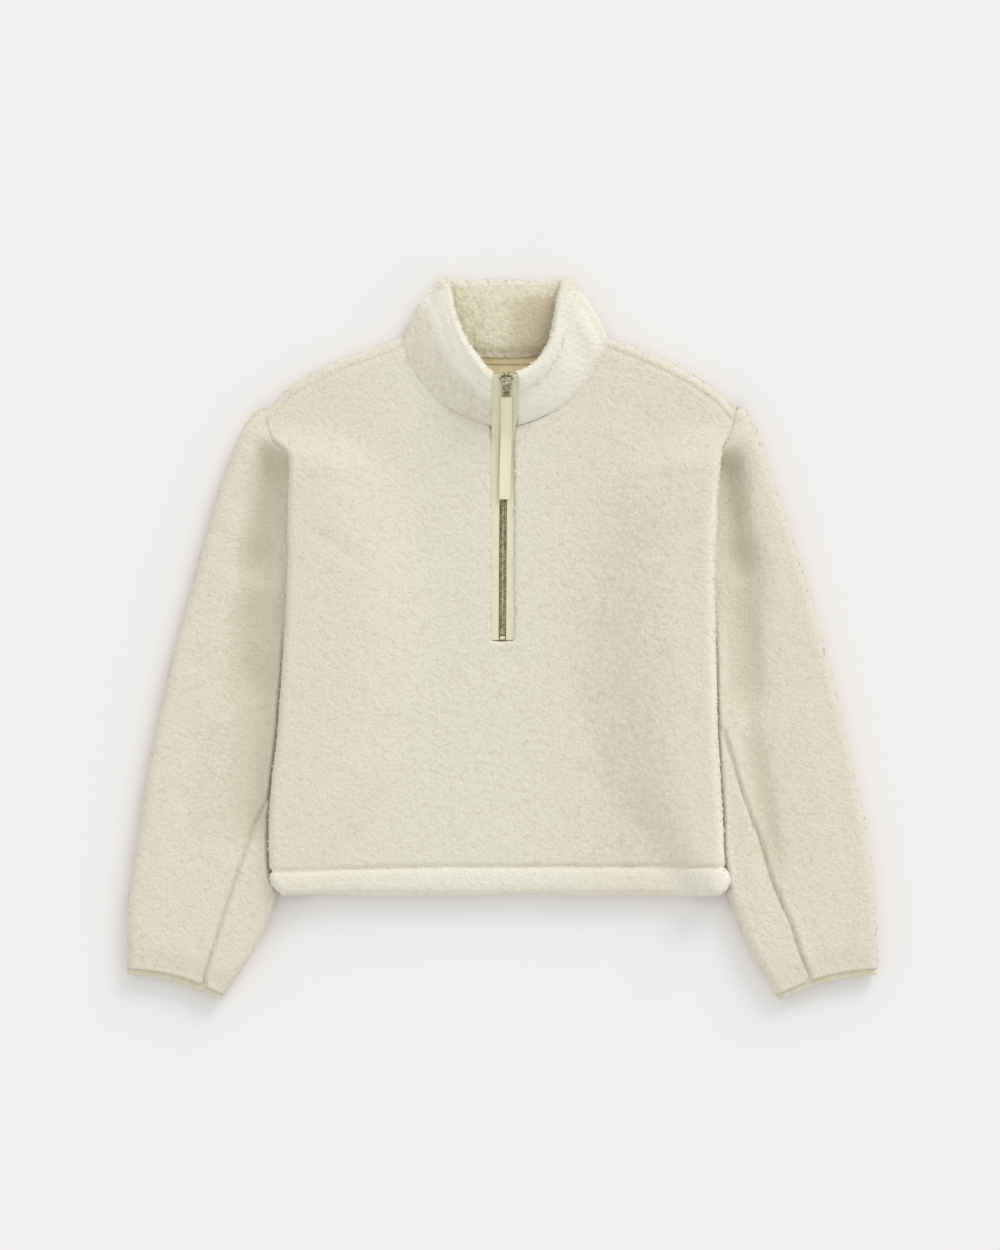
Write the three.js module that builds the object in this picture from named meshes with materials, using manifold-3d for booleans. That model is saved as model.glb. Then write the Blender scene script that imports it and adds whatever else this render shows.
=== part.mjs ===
// Sherpa fleece half-zip pullover with a stand collar, laid flat on its back, sleeves beside the body.
// Millimetres. +X is the viewer's right, +Y runs from hem to collar, +Z is up from the surface it lies on.
import * as THREE from "three";
import { mergeVertices } from "three/addons/utils/BufferGeometryUtils.js";
import Module from "manifold-3d";

const wasm = await Module();
wasm.setup();

// Driving dimensions.
const CLOTH = 7; // fleece with its pile
const BACK_CLOTH = 6.5; // the back, pressed by what lies on it
const LAYER_GAP = 2.5; // between front and back
const SEAM_GAP = 0.3;
const ROLL_CORE = 1; // inner radius of a rolled edge
const HEM_Y = -256;
const HEM_BAND = 28; // height of the turned hem
const HEM_PUFF = 2.6; // how far the hem band stands above the cloth
const BACK_HEM_PUFF = 1.6;
const HEM_FOLD_THIN = 3; // the fold at the very end is this much thinner
const HEM_FOLD_REACH = 5;
const STITCH = { depth: 2, spread: 3.5 }; // the hem's stitching draws the cloth in
const SEAM_CLOTH = 4.6; // cloth drawn thin by a seam
const SEAM_REACH = 7; // over this length
const SHOULDER_END_Y = 215;
const SHOULDER_TURN = THREE.MathUtils.degToRad(172); // how far the back's shoulder rolls forward
const CORE_TOP_Y = 170; // above this the side turns into the armhole seam
const FLARE_POWER = 6; // how late across the panel that turn shows
const TURNED = { least: 0.28, topY: 198, fullY: 164 }; // share of the side's roll along the armhole seam
const CUT = { topY: 330, low: -5, high: 80 }; // reach of the prisms that cut the cloth
const SLEEVE_TUCKED = 13.5; // height of a sleeve under the body
const SLEEVE_LOFT = 5; // what a free sleeve adds to that
const SLEEVE_WALL = 7;
const SLEEVE_END = { thin: 3, from: 0.95 }; // drawn in by the binding
const SLEEVE_HEAD = { rise: 2.4, fromY: 178, toY: 212 }; // the sleeve stands up at its head
const FREE_REACH = 36; // how far from the body it has all its loft
const BODY_LIFT = SLEEVE_TUCKED + 0.8; // the body's side lies on the sleeve
const LIFT = { from: -58, to: -14, topY: 214, fullY: 180 }; // where it climbs, from the tucked edge
const RING_STEPS = 9; // across a sleeve
const ARMHOLE_BOW = 20;
const ROLL_END = THREE.MathUtils.degToRad(138); // how far round its side the front reaches
const BACK_ROLL = THREE.MathUtils.degToRad(31); // and the back, from below
const ARMHOLE_SHOWS_Y = 157; // above this the armhole seam lies open beside the front
const CUFF_BOW = 6;
const BINDING = { length: 8, low: 2.2, high: 13.2, wall: 3, inset: 3 };
const NECK_X = 3.5; // the neck lies a little right of the middle
const COLLAR_WALL = 13; // doubled fleece
const COLLAR_SEAM_WALL = 7.5;
const COLLAR_BULGE = 4;
const SLOT = { left: -9.3, right: 11.9, bottom: -2 };
const TAPE_THICK = 1;
const NECK_TAPE = { reach: 64, near: 0.6, far: 8.4, thick: 1 };
const BOTTOM_STOP = { x: 0.8, width: 5.4, thick: 2.6 };
const CHAIN = { half: 3.3, thick: 2.8, bottom: 2.8 };
const STRIP = { half: 5.7, thick: 1.8, above: 2.4, top: 242.2, bottom: 139 };

// Half width of the body at its folded sides, then out along the armhole seam to the shoulder's end.
const BODY_EDGE = [
  { y: -256, left: 222.5, right: 222 },
  { y: -240, left: 230, right: 225.5 },
  { y: -219, left: 232.7, right: 222.7 },
  { y: -168, left: 231.5, right: 220.5 },
  { y: -100, left: 224.7, right: 216.5 },
  { y: 0, left: 217, right: 214 },
  { y: 72, left: 214.2, right: 213.5 },
  { y: 140, left: 213, right: 216 },
  { y: 173, left: 212, right: 219 },
  { y: 183, left: 214.5, right: 221 },
  { y: 190, left: 221.5, right: 224 },
  { y: 198, left: 231.5, right: 229.5 },
  { y: 215, left: 239.5, right: 237 },
];
// Shoulder seam, and how far the back rolls forward beyond it.
const SHOULDER = [
  { out: 100, left: 291, right: 291.5, roll: 9 },
  { out: 130, left: 279, right: 282, roll: 9 },
  { out: 153, left: 272, right: 275, roll: 9 },
  { out: 181, left: 260, right: 262.5, roll: 9 },
  { out: 213, left: 241.5, right: 239, roll: 10.5 },
  { out: 227, left: 231, right: 226, roll: 12 },
  { out: 239.5, left: 215, right: 212, roll: 12 },
];
// Neck seam, measured from the middle of the neck.
const NECK = [
  { out: 0, front: 212, back: 283 },
  { out: 15, front: 212.8, back: 283.2 },
  { out: 36.6, front: 220, back: 284 },
  { out: 57, front: 231, back: 285.5 },
  { out: 74.6, front: 245.5, back: 287 },
  { out: 91, front: 269, back: 289 },
  { out: 101.5, front: 290.5, back: 291 },
];
// Sleeve lines from armhole to cuff: the outer edge shows, the inner edge is tucked under the body.
const SLEEVE = [
  { outY: 221, outLeft: -249, outRight: 247, inY: 32, inLeft: -152, inRight: 152 },
  { outY: 158.5, outLeft: -279.5, outRight: 273, inY: -18, inLeft: -158, inRight: 158 },
  { outY: 88, outLeft: -300, outRight: 296.5, inY: -68, inLeft: -169, inRight: 168 },
  { outY: 18.5, outLeft: -319.5, outRight: 316.5, inY: -118, inLeft: -183, inRight: 181 },
  { outY: -51, outLeft: -337, outRight: 335, inY: -168, inLeft: -198, inRight: 196 },
  { outY: -121.5, outLeft: -351.5, outRight: 350.5, inY: -218, inLeft: -212, inRight: 211 },
  { outY: -191, outLeft: -363, outRight: 365, inY: -262, inLeft: -225, inRight: 227.5 },
  { outY: -260, outLeft: -373, outRight: 374.5, inY: -310, inLeft: -247, inRight: 247.5 },
  { outY: -328.5, outLeft: -374.5, outRight: 376, inY: -355, inLeft: -277, inRight: 275 },
];
// Where the hidden stretch of the armhole seam runs, from the side fold to the underarm point.
const HIDDEN_ARMHOLE = [
  { y: 215, x: 239 },
  { y: 190, x: 216 },
  { y: 170, x: 200 },
  { y: 154, x: 191 },
  { y: 134, x: 183 },
  { y: 94, x: 169 },
];
// Collar sections from the zip round to the middle back: middle of the cloth at neck seam and top edge.
const COLLAR = [
  { seam: [12.5, 213.2, 15.5], rim: [12.5, 259.5, 42.5] },
  { seam: [24, 216.2, 16.5], rim: [21, 264, 41.5] },
  { seam: [42, 223.6, 18], rim: [33, 276, 38.5] },
  { seam: [61, 234.8, 19.5], rim: [44, 294, 33.5] },
  { seam: [78, 250.5, 20.5], rim: [51, 315, 28] },
  { seam: [90, 268.5, 21.3], rim: [55, 335, 24] },
  { seam: [97, 284, 20.5], rim: [59, 346, 21.5] },
  { seam: [99.5, 291.5, 14.2], rim: [61.5, 350.5, 14.3] },
  { seam: [95, 292.5, 8], rim: [58, 352, 7.6] },
  { seam: [74, 288.8, 6.5], rim: [44, 352, 6.5] },
  { seam: [38, 285.8, 6.5], rim: [22, 352.4, 6.5] },
  { seam: [0, 284.8, 6.5], rim: [0, 352.8, 6.5] },
];
// Path of the zip up chest and collar: height of the tapes, their outer edges, the chain's middle.
const ZIP = [
  { y: -1.5, z: 12.5, left: -8.9, middle: 0.8, right: 11.5 },
  { y: 60, z: 12.5, left: -8.9, middle: 1.2, right: 11.5 },
  { y: 140, z: 12.5, left: -8.9, middle: 1.7, right: 11.5 },
  { y: 196, z: 12.6, left: -8.9, middle: 2, right: 11.5 },
  { y: 206, z: 14.2, left: -8.9, middle: 2.4, right: 11.5 },
  { y: 214, z: 17.9, left: -8.6, middle: 3, right: 11.6 },
  { y: 222, z: 22.6, left: -8.6, middle: 4, right: 14.6 },
  { y: 230, z: 27.4, left: -8.6, middle: 4.6, right: 15.5 },
  { y: 262, z: 46.6, left: -8.6, middle: 4.8, right: 15.5 },
];
const SLIDER = { y: 254, length: 17, width: 11.5, thick: 5.6, channel: 3.5, bridge: 5.2 };
const BRIDGE = { width: 3.2, length: 10.4, along: -1, sunk: 1 };
const EYE = { width: 8, length: 6.6, height: 3.2 };
const POST = { low: 2, wide: 2.8, narrow: 2, sunk: 0.2 };
const PIN = { along: -2.6, up: SLIDER.thick / 2 + 1.9, radius: 0.8, tilt: THREE.MathUtils.degToRad(7.6) };
const LOOP = { arm: 9.6, half: 3.1, thick: 1.6, bar: 2.2, armWidth: 1.4, above: 0.6, overlap: 0.9 };

const FLEECE = new THREE.MeshStandardMaterial({ color: 0xe2dcc8, roughness: 0.95, metalness: 0 });
const SMOOTH_TAPE = new THREE.MeshStandardMaterial({ color: 0xcdbd96, roughness: 0.85, metalness: 0 });
const ZIP_TAPE = new THREE.MeshStandardMaterial({ color: 0xd6d3b6, roughness: 0.8, metalness: 0 });
const BINDING_CLOTH = new THREE.MeshStandardMaterial({ color: 0xc9c4a2, roughness: 0.85, metalness: 0 });
const DARK_METAL = new THREE.MeshStandardMaterial({ color: 0x8c8474, roughness: 0.4, metalness: 0.9 });
const BRIGHT_METAL = new THREE.MeshStandardMaterial({ color: 0xc9c7c2, roughness: 0.25, metalness: 1 });
const PULL_STRIP = new THREE.MeshStandardMaterial({ color: 0xe6e0d0, roughness: 0.7, metalness: 0 });

const SIDES = { left: -1, right: 1 };
const lerp = THREE.MathUtils.lerp;
const clamp = THREE.MathUtils.clamp;
const smooth = (from, to, x) => {
  const t = clamp((x - from) / (to - from), 0, 1);
  return t * t * (3 - 2 * t);
};
const range = (n, make) => Array.from({ length: n }, (_, i) => make(i));
const steps = (from, to, n) => range(n + 1, (i) => lerp(from, to, i / n));

/** Smooth curve through one column of a table, read at a value of its key column. */
function column(rows, key, name) {
  const sorted = [...rows].sort((a, b) => a[key] - b[key]);
  const k = sorted.map((row) => row[key]);
  const v = sorted.map((row) => row[name]);
  const last = k.length - 1;
  const slope = range(last + 1, (i) => {
    const a = Math.max(i - 1, 0);
    const b = Math.min(i + 1, last);
    return (v[b] - v[a]) / (k[b] - k[a]);
  });
  return (x) => {
    const at = clamp(x, k[0], k[last]);
    const i = clamp(k.findIndex((knot) => knot >= at) - 1, 0, last - 1);
    const span = k[i + 1] - k[i];
    const t = (at - k[i]) / span;
    const rise = (2 * t - 3) * t * t;
    const bend = (t - 1) * (t - 1) * t * slope[i] + (t - 1) * t * t * slope[i + 1];
    return v[i] * (1 + rise) - v[i + 1] * rise + bend * span;
  };
}

const edge = { left: column(BODY_EDGE, "y", "left"), right: column(BODY_EDGE, "y", "right") };
const shoulder = { left: column(SHOULDER, "out", "left"), right: column(SHOULDER, "out", "right") };
const shoulderRoll = column(SHOULDER, "out", "roll");
const neckFront = column(NECK, "out", "front");
const neckBack = column(NECK, "out", "back");
const tuckRows = {
  left: [...HIDDEN_ARMHOLE, ...SLEEVE.map((row) => ({ y: row.inY, x: -row.inLeft }))],
  right: [...HIDDEN_ARMHOLE, ...SLEEVE.map((row) => ({ y: row.inY, x: row.inRight }))],
};
const tuck = { left: column(tuckRows.left, "y", "x"), right: column(tuckRows.right, "y", "x") };
const sideOf = (x) => (x < 0 ? "left" : "right");

/** Height of the body's underside: on the surface in the middle, on the tucked sleeves at the sides. */
function lift(x, y) {
  const inside = Math.abs(x) - tuck[sideOf(x)](y);
  return BODY_LIFT * smooth(LIFT.from, LIFT.to, inside) * smooth(LIFT.topY, LIFT.fullY, y);
}

/** Upper end of the front at x: the neck seam, then the shoulder seam. */
function frontTop(x) {
  const out = Math.abs(x - NECK_X);
  return out < NECK[NECK.length - 1].out ? neckFront(out) : shoulder[sideOf(x)](Math.abs(x));
}

/** Upper end of the back at x, where its shoulder starts to roll forward. */
const backTop = (x) => shoulder[sideOf(x)](Math.max(Math.abs(x), SHOULDER[0].out));

/** Place in the plan of the body: u runs across from -1 to 1, v from the hem to the top seam. */
function bodyPlan(u, v, top) {
  const side = sideOf(u);
  const a = Math.min(Math.abs(u), 1);
  const y1 = lerp(HEM_Y, SHOULDER_END_Y, v);
  const core = edge[side](Math.min(y1, CORE_TOP_Y));
  const flare = edge[side](y1) - core;
  const roll = (CLOTH + ROLL_CORE) * Math.sin(Math.min(ROLL_END * turned(y1), Math.PI / 2));
  const x = SIDES[side] * (a * (core - roll) + a ** FLARE_POWER * flare);
  const topCore = edge[side](CORE_TOP_Y);
  const topFlare = edge[side](SHOULDER_END_Y) - topCore;
  const topX = SIDES[side] * (a * topCore + a ** FLARE_POWER * topFlare);
  const y = lerp(HEM_Y, top(topX), v);
  return { x, y, y1, side, down: top(topX) - y };
}

/** How far the side is rolled under: a little at the armhole seam, fully below it. */
const turned = (y) => lerp(TURNED.least, 1, smooth(TURNED.topY, TURNED.fullY, y));

/** Thickness of a body panel: puffed in the hem band, thin at its stitches and at the seams. */
function bodyWall(cloth, puff, up, down) {
  const band = puff * Math.sin(Math.PI * clamp(up / HEM_BAND, 0, 1)) ** 0.6;
  const fold = HEM_FOLD_THIN * (1 - smooth(0, HEM_FOLD_REACH, up));
  const stitch = STITCH.depth * Math.exp(-(((up - HEM_BAND) / STITCH.spread) ** 2));
  const seam = (cloth - SEAM_CLOTH) * (1 - smooth(0, SEAM_REACH, down));
  return cloth + band - fold - stitch - seam;
}

/** Closed solid between two grids of points of the same size. A ring closes across its columns. */
function wall(outer, inner, ring = false) {
  const rows = outer.length;
  const cols = outer[0].length;
  const across = ring ? cols : cols - 1;
  const at = (layer, i, j) => layer * rows * cols + i * cols + (j % cols);
  const index = [];
  const quad = (a, b, c, d) => index.push(a, b, c, a, c, d);
  for (let i = 0; i < rows - 1; i++)
    for (let j = 0; j < across; j++) {
      quad(at(0, i, j), at(0, i, j + 1), at(0, i + 1, j + 1), at(0, i + 1, j));
      quad(at(1, i, j), at(1, i + 1, j), at(1, i + 1, j + 1), at(1, i, j + 1));
    }
  for (let j = 0; j < across; j++) {
    quad(at(0, 0, j), at(1, 0, j), at(1, 0, j + 1), at(0, 0, j + 1));
    quad(at(0, rows - 1, j), at(0, rows - 1, j + 1), at(1, rows - 1, j + 1), at(1, rows - 1, j));
  }
  if (!ring)
    for (let i = 0; i < rows - 1; i++) {
      quad(at(0, i, 0), at(0, i + 1, 0), at(1, i + 1, 0), at(1, i, 0));
      quad(at(0, i, cols - 1), at(1, i, cols - 1), at(1, i + 1, cols - 1), at(0, i + 1, cols - 1));
    }
  return outward([...outer.flat(), ...inner.flat()], index);
}

/** Geometry from points and triangles, turned so that its faces point out. */
function outward(points, index) {
  const p = points;
  let volume = 0;
  for (let i = 0; i < index.length; i += 3)
    volume += p[index[i]].dot(new THREE.Vector3().crossVectors(p[index[i + 1]], p[index[i + 2]]));
  const turnedIndex = volume > 0 ? index : [...index].reverse();
  const geometry = new THREE.BufferGeometry();
  geometry.setAttribute("position", new THREE.Float32BufferAttribute(p.flatMap((v) => v.toArray()), 3));
  geometry.setIndex(turnedIndex);
  return geometry;
}

/** A solid of the boolean library from a closed geometry. */
function solid(geometry) {
  const bare = geometry.clone();
  bare.deleteAttribute("normal");
  bare.deleteAttribute("uv");
  const merged = mergeVertices(bare, 1e-4);
  const vertProperties = new Float32Array(merged.attributes.position.array);
  const triVerts = new Uint32Array(merged.index.array);
  return new wasm.Manifold(new wasm.Mesh({ numProp: 3, vertProperties, triVerts }));
}

/** The geometry of a solid of the boolean library. */
function geometryOf(body) {
  const mesh = body.getMesh();
  const geometry = new THREE.BufferGeometry();
  geometry.setAttribute("position", new THREE.BufferAttribute(new Float32Array(mesh.vertProperties), 3));
  geometry.setIndex(new THREE.BufferAttribute(new Uint32Array(mesh.triVerts), 1));
  return geometry;
}

/** Upright prism over an outline in the plan, at first as high as a cut through the cloth needs. */
function prism(points, low = CUT.low, high = CUT.high) {
  const shape = new THREE.Shape(points.map(([x, y]) => new THREE.Vector2(x, y)));
  const geometry = new THREE.ExtrudeGeometry(shape, { depth: high - low, bevelEnabled: false });
  return solid(geometry.translate(0, 0, low));
}

const vec = (x, y, z) => new THREE.Vector3(x, y, z);

/** Columns of a body panel: flat ones from side to side, and past 1 or -1 those of its rolled side. */
function bodyColumns(flat, rolled) {
  const half = [...steps(0, 1, flat), ...steps(1, 2, rolled).slice(1)];
  return [...half.slice(1).reverse().map((q) => -q), ...half];
}

/** Rows of a body panel: close together in the hem band and at the top seam. */
function bodyRows(middle) {
  const length = SHOULDER_END_Y - HEM_Y;
  const hem = [0, 1.5, 4, 9, 17, 24, 27.5, 31, 36].map((up) => up / length);
  return [...hem, ...steps(0.11, 0.8, middle), 0.83, 0.855, 0.875, 0.9, 0.92, 0.945, 0.965, 0.986, 1];
}

/** The front: over the back, rolled under at both sides, thin at neck and shoulder seams. */
function front() {
  const point = (q, v, isOuter) => {
    const flat = bodyPlan(q, v, frontTop);
    const thick = bodyWall(CLOTH, HEM_PUFF, flat.y - HEM_Y, flat.down);
    const low = lift(flat.x, flat.y) + BACK_CLOTH + LAYER_GAP;
    const past = clamp(Math.abs(q) - 1, 0, 1);
    const angle = past * ROLL_END * turned(flat.y1);
    const radius = ROLL_CORE + (isOuter ? thick : 0);
    const x = flat.x + SIDES[flat.side] * radius * Math.sin(angle);
    return vec(x, flat.y - (v === 1 ? 2 * SEAM_GAP : 0), low - ROLL_CORE + radius * Math.cos(angle));
  };
  const columns = bodyColumns(11, 3);
  const rows = bodyRows(8);
  const grid = (isOuter) => rows.map((v) => columns.map((q) => point(q, v, isOuter)));
  const { left, right, bottom } = SLOT;
  const slot = prism([[left, CUT.topY], [left, bottom], [right, bottom], [right, CUT.topY]]);
  return geometryOf(solid(wall(grid(true), grid(false))).subtract(slot));
}

/** The back: on the surface, over the sleeves at its sides, its shoulders rolled forward to the seam. */
function back() {
  const centre = BACK_CLOTH + LAYER_GAP - ROLL_CORE;
  const point = (q, v, isOuter) => {
    const flat = bodyPlan(q, Math.min(v, 1), backTop);
    const thick = bodyWall(BACK_CLOTH, BACK_HEM_PUFF, flat.y - HEM_Y, flat.down + HEM_BAND);
    const base = lift(flat.x, flat.y) + centre;
    const radius = isOuter ? centre : centre - thick;
    const past = clamp(Math.abs(q) - 1, 0, 1);
    const angle = past * BACK_ROLL * turned(flat.y1) * (1 - 0.9 * clamp(v - 1, 0, 1));
    const x = flat.x + SIDES[flat.side] * radius * Math.sin(angle);
    const over = clamp(v - 1, 0, 1);
    const turn = over * SHOULDER_TURN;
    const thin = (isOuter ? -1.6 : 0.6) * smooth(0.75, 1, over);
    const reach = ((radius + thin) / centre) * shoulderRoll(Math.abs(flat.x));
    const y = flat.y + reach * Math.sin(turn);
    return vec(x, y, base - (radius + thin) * Math.cos(angle) * Math.cos(turn));
  };
  const columns = bodyColumns(11, 2);
  const rows = [...bodyRows(8).slice(0, -2), 1, ...steps(1.2, 2, 4)];
  const grid = (isOuter) => rows.map((v) => columns.map((q) => point(q, v, isOuter)));
  const last = NECK[NECK.length - 1].out + 3;
  const curve = steps(-1, 1, 16).map((t) => [NECK_X + t * last, neckBack(Math.abs(t) * last)]);
  const neck = prism([[NECK_X - last, CUT.topY], ...curve, [NECK_X + last, CUT.topY]]);
  return geometryOf(solid(wall(grid(true), grid(false))).subtract(neck));
}

const sleeveCurve = {
  left: {
    out: new THREE.CatmullRomCurve3(SLEEVE.map((row) => vec(row.outLeft, row.outY, 0))),
    in: new THREE.CatmullRomCurve3(SLEEVE.map((row) => vec(row.inLeft, row.inY, 0))),
  },
  right: {
    out: new THREE.CatmullRomCurve3(SLEEVE.map((row) => vec(row.outRight, row.outY, 0))),
    in: new THREE.CatmullRomCurve3(SLEEVE.map((row) => vec(row.inRight, row.inY, 0))),
  },
};

/** Place in the plan of a sleeve: t runs from its outer to its inner edge, s from armhole to cuff. */
function sleevePlan(side, t, s) {
  const out = sleeveCurve[side].out.getPoint(s);
  const chord = sleeveCurve[side].in.getPoint(s).sub(out);
  const armhole = ARMHOLE_BOW * Math.sin(Math.PI * clamp(t, 0, 1) ** 0.6) * (1 - s) ** 3;
  const cuff = CUFF_BOW * Math.sin(Math.PI * clamp(t, 0, 1)) * s ** 6;
  const towardNeck = vec(SIDES[side] * chord.y, -SIDES[side] * chord.x, 0).normalize();
  return out.addScaledVector(chord, t).addScaledVector(towardNeck, armhole + cuff);
}

/** Height of a sleeve: pressed under the body, lofted where it lies free. */
function sleeveHeight(side, x, y, s) {
  const free = Math.max(Math.abs(x) - edge[side](y), HEM_Y - y);
  const loft = smooth(0, FREE_REACH, free);
  const head = SLEEVE_HEAD.rise * smooth(SLEEVE_HEAD.fromY, SLEEVE_HEAD.toY, y) * (1 - loft);
  const cuff = SLEEVE_END.thin * smooth(SLEEVE_END.from, 1, s);
  return SLEEVE_TUCKED + SLEEVE_LOFT * loft + head - cuff;
}

/** One ring of a flattened tube: over the top from outer to inner edge, round, back along the underside. */
function flatRing(place, height, length, low, inset) {
  const half = (t) => (height(t) - low) / 2;
  const at = (t, z) => place(t).setZ(z);
  const round = (end, sign) =>
    [0.12, 0.5, 0.88].map((share) => {
      const radius = half(end) - inset(end);
      const angle = Math.PI * share;
      const t = end - (sign * (half(end) - radius * Math.sin(angle))) / length;
      return at(t, low + half(end) + sign * radius * Math.cos(angle));
    });
  const across = steps(half(0) / length, 1 - half(1) / length, RING_STEPS);
  return [
    ...across.map((t) => at(t, height(t) - inset(t))),
    ...round(1, 1),
    ...[...across].reverse().map((t) => at(t, low + inset(t))),
    ...round(0, -1),
  ];
}

/** A sleeve: a flattened tube from the armhole seam to the cuff. */
function sleeve(side) {
  const rows = [0.004, 0.05, 0.11, 0.2, 0.3, 0.4, 0.5, 0.6, 0.7, 0.78, 0.86, 0.93, 0.975, 1];
  const grid = (isOuter) =>
    rows.map((s) => {
      const place = (t) => sleevePlan(side, t, s);
      const height = (t) => {
        const p = place(t);
        return sleeveHeight(side, p.x, p.y, s);
      };
      const length = place(0).distanceTo(place(1));
      const hollow = (t) => clamp((height(t) - 2 * SLEEVE_WALL) / 2, 1, 2);
      const inset = (t) => (isOuter ? 0 : height(t) / 2 - hollow(t));
      return flatRing(place, height, length, 0, inset);
    });
  const beside = (y) => SIDES[side] * (edge[side](y) + SEAM_GAP);
  const seam = steps(ARMHOLE_SHOWS_Y, SHOULDER_END_Y, 14).map((y) => [beside(y), y]);
  const body = prism([[0, ARMHOLE_SHOWS_Y], ...seam, [beside(SHOULDER_END_Y), CUT.topY], [0, CUT.topY]]);
  return geometryOf(solid(wall(grid(true), grid(false), true)).subtract(body));
}

/** Binding round the end of a sleeve, a little smaller than the sleeve. */
function cuffBinding(side) {
  const { length, low, high, wall: thick, inset } = BINDING;
  const across = sleevePlan(side, 1, 1).sub(sleevePlan(side, 0, 1));
  const away = vec(-SIDES[side] * across.y, SIDES[side] * across.x, 0).normalize();
  const width = across.length();
  const place = (down) => (t) =>
    sleevePlan(side, lerp(inset / width, 1 - inset / width, t), 1).addScaledVector(away, down);
  const grid = (isOuter) =>
    steps(SEAM_GAP, length, 3).map((down) =>
      flatRing(place(down), () => high, width - 2 * inset, low, () => (isOuter ? 0 : thick)),
    );
  return wall(grid(true), grid(false), true);
}

/** The collar: doubled fleece from the neck seam up, open at the zip, rolled at its top edge. */
function collar() {
  const rows = (sign) =>
    COLLAR.map(({ seam, rim }) => ({
      seam: vec(NECK_X + sign * seam[0], seam[1], seam[2]),
      rim: vec(NECK_X + sign * rim[0], rim[1], rim[2]),
    }));
  const all = [...rows(-1), ...rows(1).reverse().slice(1)];
  const seamLine = new THREE.CatmullRomCurve3(all.map((row) => row.seam), false, "chordal");
  const rimLine = new THREE.CatmullRomCurve3(all.map((row) => row.rim), false, "chordal");
  const stations = steps(0, all.length - 1, 2 * (all.length - 1)).map((k) => k / (all.length - 1));
  const section = (t) => {
    const base = seamLine.getPoint(t);
    const top = rimLine.getPoint(t);
    const up = top.clone().sub(base);
    const height = up.length();
    up.normalize();
    const around = rimLine.getTangent(t).add(seamLine.getTangent(t)).normalize();
    const out = vec(0, 0, 0).crossVectors(around, up).normalize().negate();
    const at = (h, offset) => {
      const bulge = COLLAR_BULGE * Math.sin(Math.PI * clamp(h, 0, 1)) * (out.z > -0.5 ? 1 : 0);
      return base.clone().addScaledVector(up, h * height).addScaledVector(out, offset + bulge);
    };
    const half = COLLAR_WALL / 2;
    const face = [
      [0, COLLAR_SEAM_WALL / 2],
      [0.12, half * 0.95],
      [0.35, half],
      [0.65, half],
      [1, half],
    ];
    const roll = [30, 60, 90, 120, 150].map((deg) => {
      const angle = THREE.MathUtils.degToRad(deg);
      return at(1, 0).addScaledVector(up, half * Math.sin(angle)).addScaledVector(out, half * Math.cos(angle));
    });
    const points = [
      ...face.map(([h, offset]) => at(h, offset)),
      ...roll,
      ...[...face].reverse().map(([h, offset]) => at(h, -offset)),
    ];
    points.forEach((p) => p.setZ(Math.max(p.z, 0)));
    return points;
  };
  return loft(stations.map(section));
}

/** Closed solid through a row of closed sections, with flat ends. */
function loft(sections) {
  const n = sections[0].length;
  const index = [];
  for (let i = 0; i < sections.length - 1; i++)
    for (let j = 0; j < n; j++) {
      const a = i * n + j;
      const b = i * n + ((j + 1) % n);
      index.push(a, b, b + n, a, b + n, a + n);
    }
  const cap = (start, flip) => {
    for (let j = 0; j < n / 2 - 1; j++) {
      const a = start + j;
      const b = start + j + 1;
      const c = start + n - 2 - j;
      const d = start + n - 1 - j;
      const faces = c === b ? [[a, b, d]] : [[a, b, c], [a, c, d]];
      faces.forEach(([p, q, r]) => index.push(...(flip ? [p, q, r] : [p, r, q])));
    }
  };
  cap(0, false);
  cap((sections.length - 1) * n, true);
  return outward(sections.flat(), index);
}

const zipColumn = Object.fromEntries(
  ["z", "left", "middle", "right"].map((name) => [name, column(ZIP, "y", name)]),
);

/** Point over the zip's path and the direction that stands up from the tape there. */
function onZip(y, x, above) {
  const step = 1;
  const rise = (zipColumn.z(y + step) - zipColumn.z(y - step)) / (2 * step);
  const up = vec(0, -rise, 1).normalize();
  return vec(x, y, zipColumn.z(y)).addScaledVector(up, above);
}

/** A flat ribbon along the zip. */
function ribbon(from, to, n, left, right, low, high) {
  const grid = (above) =>
    steps(from, to, n).map((y) => [0, 1].map((k) => onZip(y, lerp(left(y), right(y), k), above)));
  return wall(grid(high), grid(low));
}

const zipTape = (side) => {
  const near = (y) => zipColumn.middle(y) + SIDES[side] * (CHAIN.half + SEAM_GAP);
  const far = zipColumn[side];
  const [a, b] = side === "left" ? [far, near] : [near, far];
  return ribbon(ZIP[0].y, ZIP[ZIP.length - 1].y, 26, a, b, -TAPE_THICK / 2, TAPE_THICK / 2);
};

const zipChain = () =>
  ribbon(
    CHAIN.bottom,
    SLIDER.y + 1,
    24,
    (y) => zipColumn.middle(y) - CHAIN.half,
    (y) => zipColumn.middle(y) + CHAIN.half,
    -CHAIN.thick / 2,
    CHAIN.thick / 2,
  );

const stripX = (y) => lerp(3.4, 5, smooth(STRIP.bottom, STRIP.top, y));
const pullStrip = () =>
  ribbon(
    STRIP.bottom,
    STRIP.top,
    18,
    (y) => stripX(y) - STRIP.half,
    (y) => stripX(y) + STRIP.half,
    STRIP.above,
    STRIP.above + STRIP.thick,
  );

const sliderSlope = Math.atan((zipColumn.z(SLIDER.y + 1) - zipColumn.z(SLIDER.y - 1)) / 2);
const box = (w, l, h, x, y, z) => solid(new THREE.BoxGeometry(w, l, h).translate(x, y, z));

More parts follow.
